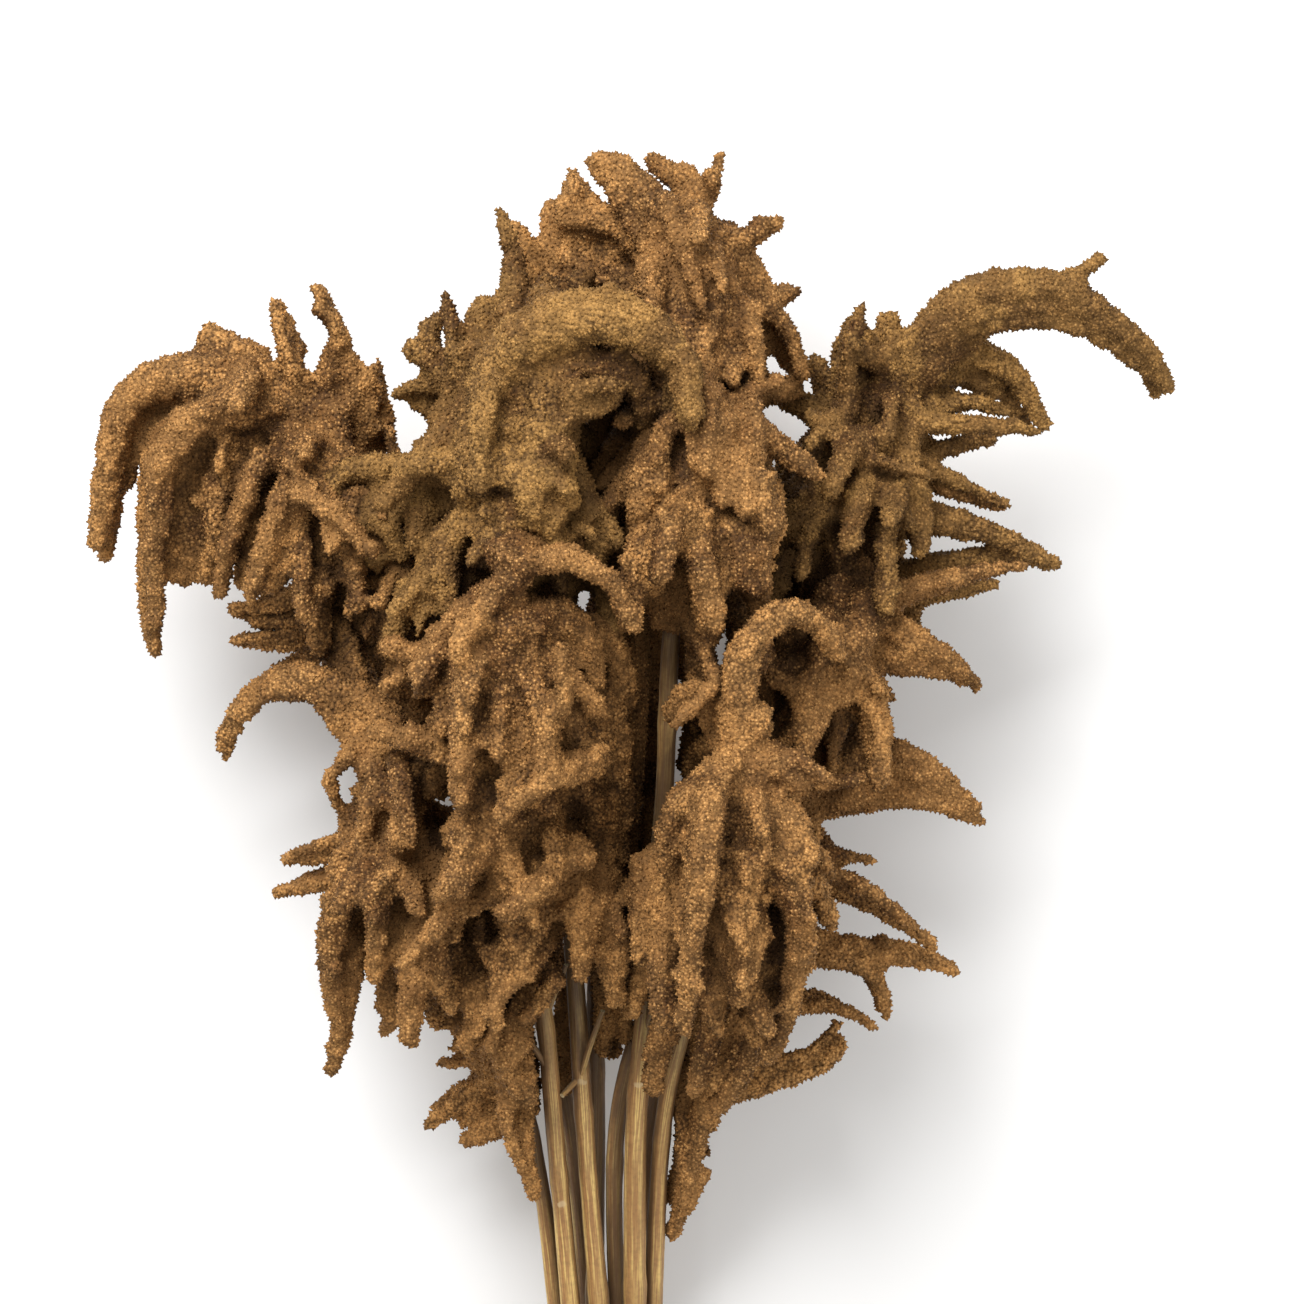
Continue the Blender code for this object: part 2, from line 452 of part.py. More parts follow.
def push_apart(chains):
    """Bend tails clear of other stems, mostly up and down, so that the outline is kept."""
    ends = np.cumsum([len(c.path) for c in chains])
    rows = [slice(end - len(c.path), end) for end, c in zip(ends, chains)]
    names = sorted({c.stem for c in chains})
    stem = np.concatenate([[names.index(c.stem)] * len(c.path) for c in chains])
    start = np.vstack([c.path for c in chains])
    radii = np.concatenate([c.radii for c in chains]) * (1.0 + RELIEF)
    free = np.concatenate([c.free for c in chains])
    moved = start.copy()
    reach = 2.0 * radii.max() + PUSH_REACH
    for turn in range(PUSH_ROUNDS):
        if turn % PAIR_ROUNDS == 0:
            one, two = near_pairs(moved, stem, reach)
            kept = free[one] + free[two] > 0
            one, two = one[kept], two[kept]
            need = radii[one] + radii[two] + CLEARANCE
            share = free[one] / (free[one] + free[two])
        apart = moved[one] - moved[two]
        distance = np.linalg.norm(apart, axis=1)
        short = (need - distance).clip(min=0.0) * share
        if not short.any():
            break
        way = apart * np.array([PUSH_SIDEWAYS, PUSH_SIDEWAYS, 1.0])
        way[:, 2] += np.where(apart[:, 2] >= 0, 0.6, -0.6) * (distance < CROSSING)
        way *= (short / (np.linalg.norm(way, axis=1) + 1e-9))[:, None]
        total = np.zeros_like(moved)
        strongest = np.zeros_like(moved)
        np.add.at(total, one, way)
        np.maximum.at(strongest, one, np.abs(way))
        shift = moved + PUSH_STRENGTH * np.clip(total, -strongest, strongest) - start
        for part in rows:
            own = shift[part]
            padded = np.vstack([own[:1], own, own[-1:]])
            shift[part] = (padded[:-2] + 2 * own + padded[2:]) / 4 * free[part][:, None] ** 0.25
        moved = start + shift
        moved[:, 2] += (radii - PRESS - moved[:, 2]).clip(min=0.0) * (free > 0)
    for part, chain in zip(rows, chains):
        chain.path = moved[part]


def frames_along(path):
    """Two side directions at each point, turning as little as possible along the path."""
    ahead = np.gradient(path, axis=0)
    ahead /= np.linalg.norm(ahead, axis=1)[:, None]
    side = np.cross(ahead[0], (0.0, 0.0, 1.0))
    if np.linalg.norm(side) < 0.2:
        side = np.cross(ahead[0], (1.0, 0.0, 0.0))
    frames = []
    for direction in ahead:
        side = side - direction * np.dot(side, direction)
        side /= np.linalg.norm(side)
        frames.append((side, np.cross(direction, side)))
    return frames


def add_tube(mesh, path, radii, sides, relief, pointed):
    """Skin a closed tube in the bmesh: rings with staggered bumps and a cap or a point."""
    rings = []
    for row, (centre, radius, frame) in enumerate(zip(path, radii, frames_along(path))):
        ring = []
        for corner in range(sides):
            angle = 2 * math.pi * corner / sides
            bump = 1.0 + relief * (-1) ** (row + corner)
            offset = (math.cos(angle) * frame[0] + math.sin(angle) * frame[1]) * radius * bump
            ring.append(mesh.verts.new(Vector((centre + offset) * MM)))
        rings.append(ring)
    for lower, upper in zip(rings, rings[1:]):
        for corner in range(sides):
            after = (corner + 1) % sides
            mesh.faces.new((lower[corner], lower[after], upper[after], upper[corner]))
    mesh.faces.new(rings[0][::-1])
    if pointed:
        ahead = path[-1] - path[-2]
        ahead /= np.linalg.norm(ahead)
        tip = mesh.verts.new(Vector((path[-1] + ahead * radii[-1] * 0.8) * MM))
        for corner in range(sides):
            mesh.faces.new((rings[-1][corner], rings[-1][(corner + 1) % sides], tip))
    else:
        mesh.faces.new(rings[-1])


def object_from(name, mesh, material):
    """A scene object from a bmesh, its faces pointing out."""
    bmesh.ops.recalc_face_normals(mesh, faces=mesh.faces)
    data = bpy.data.meshes.new(name)
    mesh.to_mesh(data)
    mesh.free()
    data.materials.append(material)
    obj = bpy.data.objects.new(name, data)
    bpy.context.scene.collection.objects.link(obj)
    return obj


def tail_rings(chain):
    """Ring centres and radii along a tail, closing round at its tip."""
    length = arc_lengths(chain.path)[-1]
    end = chain.radii[-1]
    count = max(2, round((length - end) / RING_STEP) + 1)
    distances = np.append(np.linspace(0.0, length - end, count), length - 0.35 * end)
    radii = np.interp(distances, arc_lengths(chain.path), chain.radii)
    radii[0] *= ROOT_NARROWING
    radii[-1] *= TIP_NARROWING
    return point_at(chain.path, distances), radii


def core_chain(name, stem, rachis):
    """The packed middle of a seed head, along its rachis."""
    length = arc_lengths(rachis)[-1]
    along = np.linspace(0.0, length, max(4, round(length / CORE_STEP) + 1))
    along = np.insert(along, 1, COLLAR)
    share = along / length
    radii = 0.5 * stem["core"] * np.clip(CORE_NECK + CORE_OPENING * share, 0.0, 1.0)
    radii *= 1.0 - CORE_CLOSING * (share - CORE_CLOSES).clip(min=0.0)
    return Chain(name, point_at(rachis, along), radii, np.zeros(len(along)))


def stalk_chain(name, stem, route):
    """A bare stalk: tapering, with a slight swelling at each old leaf joint."""
    length = arc_lengths(route)[-1]
    along = np.linspace(0.0, length - PIECE_GAP, round(length / STALK_STEP) + 1)
    along = np.insert(along, -1, length - PIECE_GAP - COLLAR)
    bottom, top = stem["thick"]
    radii = 0.5 * (bottom + (top - bottom) * along / length)
    joints = 1.0 + JOINT_SWELL * (np.arange(len(along)) % JOINT_EVERY == 1)
    return Chain(name, point_at(route, along), radii * joints, np.zeros(len(along)))


def union(target, others):
    """Fuse the other objects to the target with one Boolean on their collection."""
    group = bpy.data.collections.new(target.name + "_parts")
    bpy.context.scene.collection.children.link(group)
    for obj in others:
        bpy.context.scene.collection.objects.unlink(obj)
        group.objects.link(obj)
    before = target.data
    for solver in ("EXACT", "MANIFOLD"):
        target.data = before
        modifier = target.modifiers.new("join", "BOOLEAN")
        modifier.operation = "UNION"
        modifier.operand_type = "COLLECTION"
        modifier.collection = group
        modifier.solver = solver
        apply_modifiers(target)
        if is_closed(target.data):
            break
    for obj in others:
        bpy.data.objects.remove(obj, do_unlink=True)
    bpy.data.collections.remove(group)


def is_closed(data):
    """Whether every edge has two faces."""
    mesh = bmesh.new()
    mesh.from_mesh(data)
    closed = all(len(edge.link_faces) == 2 for edge in mesh.edges)
    mesh.free()
    return closed


def apply_modifiers(obj):
    """Keep the evaluated mesh and drop the modifiers."""
    depsgraph = bpy.context.evaluated_depsgraph_get()
    depsgraph.update()
    result = bpy.data.meshes.new_from_object(obj.evaluated_get(depsgraph))
    obj.modifiers.clear()
    obj.data = result


def table_cutter():
    """A block whose top is the table, to press a flat spot under what rests on it."""
    mesh = bmesh.new()
    bmesh.ops.create_cube(mesh, size=1.0)
    bmesh.ops.translate(mesh, verts=mesh.verts, vec=(0.0, 0.0, -0.5))
    cutter = object_from("table_cutter", mesh, make_material("cutter", (0.5, 0.5, 0.5), 0.5))
    cutter.hide_render = True
    cutter.display_type = "WIRE"
    return cutter


def press_flat(obj, cutter):
    """Cut off what reaches below the table."""
    lowest = min((obj.matrix_world @ vertex.co).z for vertex in obj.data.vertices)
    if lowest >= 0.0:
        return
    modifier = obj.modifiers.new("rest", "BOOLEAN")
    modifier.operation = "DIFFERENCE"
    modifier.operand_type = "OBJECT"
    modifier.object = cutter
    modifier.solver = "MANIFOLD"
    apply_modifiers(obj)


def bodies_of(mesh):
    """The faces of each connected body of a bmesh, the largest body first."""
    left = set(mesh.faces)
    bodies = []
    while left:
        queue = [left.pop()]
        body = list(queue)
        while queue:
            for edge in queue.pop().edges:
                for face in edge.link_faces:
                    if face in left:
                        left.remove(face)
                        queue.append(face)
                        body.append(face)
        bodies.append(body)
    return sorted(bodies, key=len, reverse=True)


def clean_union(obj):
    """Fill the hollows that a union seals, drop loose scraps and split into triangles."""
    mesh = bmesh.new()
    mesh.from_mesh(obj.data)
    for body in bodies_of(mesh)[1:]:
        bmesh.ops.delete(mesh, geom=body, context="FACES")
    loose = [vertex for vertex in mesh.verts if not vertex.link_faces]
    bmesh.ops.delete(mesh, geom=loose, context="VERTS")
    bmesh.ops.triangulate(mesh, faces=mesh.faces)
    mesh.to_mesh(obj.data)
    mesh.free()


def twig_chains(name, stem, stalk):
    """The bare broken side shoots of a stalk."""
    chains = []
    for route in stem.get("twigs", []):
        root = stalk[np.argmin(np.linalg.norm(stalk - np.array(route[0]) + TWIG_DROP, axis=1))]
        path = smooth_route([root] + route, TWIG_STEP)
        radii = 0.5 * np.linspace(TWIG_THICK, TWIG_THICK * TWIG_TAPER, len(path))
        chains.append(Chain(name, path, radii, np.zeros(len(path))))
    return chains


def tube_object(name, chain, sides, relief, pointed, material):
    """One chain as an object."""
    mesh = bmesh.new()
    add_tube(mesh, chain.path, chain.radii, sides, relief, pointed)
    return object_from(name, mesh, material)


def make_stalk(name, chain, twigs, material):
    """A ribbed bare stalk with its side shoots."""
    stalk = tube_object("stalk_" + name, chain, STALK_SIDES, STALK_RIBS, False, material)
    if twigs:
        union(stalk, [tube_object(f"twig_{number}", twig, TWIG_SIDES, 0.0, False, material)
                      for number, twig in enumerate(twigs)])
    return stalk


def make_head(name, core, tails, material):
    """A seed head: its core with every tail fused to it."""
    relief = RELIEF * CORE_RELIEF
    head = tube_object("head_" + name, core, CORE_SIDES, relief, False, material)
    others = []
    for number, tail in enumerate(tails):
        path, radii = tail_rings(tail)
        rings = Chain(name, path, radii, None)
        others.append(tube_object(f"tail_{number}", rings, TAIL_SIDES, RELIEF, True, material))
    union(head, others)
    clean_union(head)
    return head


def shade_round(obj):
    """Smooth shading with the sharp corners kept."""
    obj.data.shade_smooth()
    obj.data.set_sharp_from_angle(angle=math.radians(SHARP_ANGLE))


def tie_line(stalks, offset, count):
    """Points round the bundle in the tie's plane, pulled tight over the outermost stalks."""
    points = []
    for step in range(count):
        angle = 2 * math.pi * step / count
        way = np.array([math.cos(angle), math.sin(angle)])
        centre, radius = max(stalks, key=lambda stalk: np.dot(stalk[0], way) + stalk[1])
        points.append(centre + (radius + offset) * way)
    return points


def tie_profile():
    """The tie's cut face as (along, out): flat inside, one ridge for each turn of twine."""
    half = TIE_WIDTH / 2
    turn_width = TIE_WIDTH / TIE_TURNS
    profile = [(-half, 0.0), (-half, TIE_THICK * TIE_VALLEY)]
    for turn in range(TIE_TURNS):
        left = -half + turn * turn_width
        profile.append((left + 0.5 * turn_width, TIE_THICK))
        profile.append((left + turn_width, TIE_THICK * TIE_VALLEY))
    return profile + [(half, 0.0)]


def make_tie(material):
    """Four turns of twine round the stalks, as one ridged ring square to the bundle."""
    stalks = []
    for stem in STEMS.values():
        column, row = stem["place"]
        radius = 0.5 * stem["thick"][0] * TIE_ROOM
        stalks.append((np.array([column * STALK_PITCH / 2, row * STALK_ROW]), radius))
    rise = bundle_height(TIE_Y + TIE_STRAIGHT) - bundle_height(TIE_Y - TIE_STRAIGHT)
    slope = math.atan2(rise, 2 * TIE_STRAIGHT)
    profile = tie_profile()
    lines = [tie_line(stalks, TIE_GAP + out, TIE_SEGMENTS) for _, out in profile]
    mesh = bmesh.new()
    rings = []
    for index in range(TIE_SEGMENTS):
        ring = []
        for (along, _), line in zip(profile, lines):
            across, up = line[index]
            y = TIE_Y + along * math.cos(slope) - up * math.sin(slope)
            z = bundle_height(TIE_Y) + along * math.sin(slope) + up * math.cos(slope)
            ring.append(mesh.verts.new(Vector((BUNDLE_X + across, y, z)) * MM))
        rings.append(ring)
    for here, there in zip(rings, rings[1:] + rings[:1]):
        for corner in range(len(profile)):
            after = (corner + 1) % len(profile)
            mesh.faces.new((here[corner], here[after], there[after], there[corner]))
    return object_from("tie", mesh, material)


def centre_on_box(objects):
    """Move everything so that the origin is on the table, under the middle of its box."""
    corners = [vertex.co for obj in objects for vertex in obj.data.vertices]
    middle_x = 0.5 * (min(c.x for c in corners) + max(c.x for c in corners))
    middle_y = 0.5 * (min(c.y for c in corners) + max(c.y for c in corners))
    for obj in objects:
        for vertex in obj.data.vertices:
            vertex.co -= Vector((middle_x, middle_y, 0.0))


def build():
    """Model the whole bunch."""
    clear_scene()
    random.seed(SEED)
    stalk_material = make_material("stalk", STALK_TAN, 0.6)
    cores = {}
    stalks = {}
    twigs = {}
    tails = {}
    for name, stem in STEMS.items():
        stalk, rachis = stem_routes(stem)
        stalks[name] = stalk_chain(name + "_stalk", stem, stalk)
        cores[name] = core_chain(name, stem, rachis)
        grown = stem["tails"] + filling_tails(stem, rachis)
        tails[name] = [tail_chain(name, stem, tail, rachis) for tail in grown]
        twigs[name] = twig_chains(name + "_stalk", stem, stalk)
    fixed = []
    for name in STEMS:
        for chain in [stalks[name], cores[name]] + twigs[name]:
            length = arc_lengths(chain.path)[-1]
            at = np.linspace(0.0, length, round(length / PATH_STEP) + 1)
            radii = np.interp(at, arc_lengths(chain.path), chain.radii)
            fixed.append(Chain(chain.stem, point_at(chain.path, at), radii, np.zeros(len(at))))
    push_apart(fixed + [chain for name in STEMS for chain in tails[name]])

    cutter = table_cutter()
    objects = []
    for name in STEMS:
        stalk = make_stalk(name, stalks[name], twigs[name], stalk_material)
        colour = HEAD_COLOURS.get(name, FLOWER_BROWN)
        material = make_material("seed_head_" + name, colour, 0.9)
        head = make_head(name, cores[name], tails[name], material)
        objects += [stalk, head]
    for obj in objects:
        press_flat(obj, cutter)
    bpy.data.objects.remove(cutter, do_unlink=True)
    objects.append(make_tie(make_material("twine", TWINE_TAN, 0.8)))
    centre_on_box(objects)
    for obj in objects:
        shade_round(obj)


build()
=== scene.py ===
"""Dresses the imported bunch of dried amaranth: seed heads covered in husks, ribbed stalks, twine.

The bunch lies along Y with its seed heads towards +Y. Routes are in millimetres from the lower
left of the picture's frame, as in the part's source, and ORIGIN moves them to the part's own
origin. Meshes are in metres.
"""
import math
import random

import bmesh
import bpy
import numpy as np
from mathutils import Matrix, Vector
from mathutils.bvhtree import BVHTree
from mathutils.kdtree import KDTree


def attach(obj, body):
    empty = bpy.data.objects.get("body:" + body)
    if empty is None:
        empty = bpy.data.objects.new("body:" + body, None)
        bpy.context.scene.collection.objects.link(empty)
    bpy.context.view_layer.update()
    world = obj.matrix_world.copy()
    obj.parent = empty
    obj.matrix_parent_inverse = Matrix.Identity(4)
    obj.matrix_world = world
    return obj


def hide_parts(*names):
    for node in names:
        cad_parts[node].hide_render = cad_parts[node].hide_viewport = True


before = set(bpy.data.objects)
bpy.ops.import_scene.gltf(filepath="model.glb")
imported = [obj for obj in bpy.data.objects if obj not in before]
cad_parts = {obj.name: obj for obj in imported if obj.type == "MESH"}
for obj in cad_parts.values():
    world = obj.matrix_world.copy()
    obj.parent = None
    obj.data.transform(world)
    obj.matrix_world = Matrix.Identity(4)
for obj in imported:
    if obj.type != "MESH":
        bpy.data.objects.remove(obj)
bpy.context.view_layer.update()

MM = 0.001
ORIGIN = np.array([0.66, -105.45, 0.0])

# The bundle where the tie holds it, as in the part's source
CUT_END_Y = -200.0
TIE_Y = -68.0
BUNDLE_X = -8.5
STALK_PITCH = 10.4
STALK_ROW = 8.9
BUTT_SPREAD = 1.12
AXIS_HEIGHT = ((-200.0, 12.6), (-68.0, 31.0), (60.0, 51.0))
PIECE_GAP = 0.3

# Seed heads: the skin and what covers it
SKIN_VOXEL = 2.1              # grid of the skin under the husks
HUSK_SPACING = 1.5            # least distance between two husks
HUSK_SIZE = 1.7               # scale of a husk
CLUSTER_SIZE = 5.0            # from flower cluster to flower cluster
CLUSTER_HEIGHT = 2.4          # how far a cluster stands out
REST_HEIGHT = 1.0             # the skin is flat below this, so that its husks touch the table
GRAIN_SIZE = 1.22             # from flower grain to flower grain
SKY_RAYS = 14                 # directions in which a point looks for the open air
SKY_TURN = 2.39996            # the golden angle, from each direction to the next
SKY_REACH = 45.0              # how far it looks
SKY_LIFT = 1.6                # and how far over the surface it starts
HUSK_SKY = 0.07               # no husks where less open air than this is seen
TRACED_TONES = (0.25, 0.80)   # how light a tail is dried, from and to
OTHER_TONES = (0.0, 0.60)
TIP_LIGHTER = 0.40            # how much lighter in tone a tail's tip is than its root

# More spikes all over the heads: thickness and length, from and to, how much they hang and stand
# out, their tip's share of the thickness, and the share that has to lie within the outline
LONG_SPIKE = {"thick": (9.0, 14.0), "length": (22.0, 48.0), "hang": 0.75, "rise": 1.0,
              "tip": 0.5, "within": 0.6}
SHORT_SPIKE = {"thick": (4.2, 6.2), "length": (2.4, 4.4), "hang": 0.2, "rise": 0.6,
               "tip": 0.85, "within": 0.2}
SPIKE_AREA = 150.0            # one more spike to so much of a solid's surface, in mm2
SPIKE_APART = 8.0             # least distance between two of their roots
SPIKE_NEAR = 15.0             # long spikes spring from within this distance of the core
SPIKE_HEIGHTS = (7.0, 172.0)  # lowest and highest place of a spike's tip over the table
TRACED_CLEAR = 11.0           # no long spike springs so near to a tail seen in the picture

# Stalks and twine
STALK_SIDES = 20
STALK_STEP = 4.0              # from ring to ring along a stalk
JOINT_SPACING = (55.0, 85.0)  # from old leaf joint to old leaf joint
JOINT_LENGTH = 4.0            # of a swollen joint
SCAR_LENGTH = 2.2
TWIG_THICK = 2.6              # thickness of a bare side shoot
TWINE_THICK = 2.6
TWINE_TURNS = 4
TWINE_GAP = 0.4               # between the twine and the nearest stalk
KNOT_SIZE = 6.0
TWINE_END = ((1, 0, 0.5), (6, -3, 1.2), (13, -8, -0.4), (19, -16, -3.5), (22, -25, -8.0))
TIE_ROOM = 1.08               # allows for the ridges of the stalks
SEED = 7

# Colours in linear light: a head's clefts (a painted shade, also given to its darkest husks),
# husks, lit tips (a painted highlight) and palest tails
HEAD_COLOURS = {
    "dried brown grains": ((0.042, 0.020, 0.008), (0.180, 0.080, 0.025),
                           (0.86, 0.475, 0.172), (0.520, 0.258, 0.082)),
    "golden grains": ((0.038, 0.018, 0.007), (0.125, 0.055, 0.017),
                      (0.61, 0.342, 0.118), (0.410, 0.220, 0.065)),
}
STALK_TANS = ((0.350, 0.180, 0.055), (0.660, 0.450, 0.150))
STALK_RED = (0.200, 0.080, 0.026)
STALK_PATCH = (0.270, 0.140, 0.042)
STALK_SHADE = (0.090, 0.045, 0.018)
SCAR_COLOUR = (0.58, 0.45, 0.26)
PITH_COLOUR = (0.62, 0.50, 0.28)
TWINE_STRAWS = ((0.240, 0.150, 0.070), (0.560, 0.400, 0.220))
TWINE_PATCH = (0.420, 0.270, 0.120)
FLOOR_COLOUR = (0.86, 0.86, 0.86, 1.0)
SKY_COLOUR = (1.0, 0.985, 0.96, 1.0)

# Soft studio light: place, size and watts of each lamp, and what they all point at
LAMPS = {"key": ((-0.6, 1.3, 1.6), 1.2, 52.0), "fill": ((1.3, -0.4, 1.6), 1.6, 12.0)}
LAMP_AIM = (0.0, 0.1, 0.05)
SKY_STRENGTH = 0.62

# The camera over the bunch, in metres: where it is, and the height that it is set for
EYE = (0.0068, 0.1293, 1.7)
EYE_PLANE = 0.1
EYE_HALF_VIEW = 0.2347        # half of the view's width on that plane
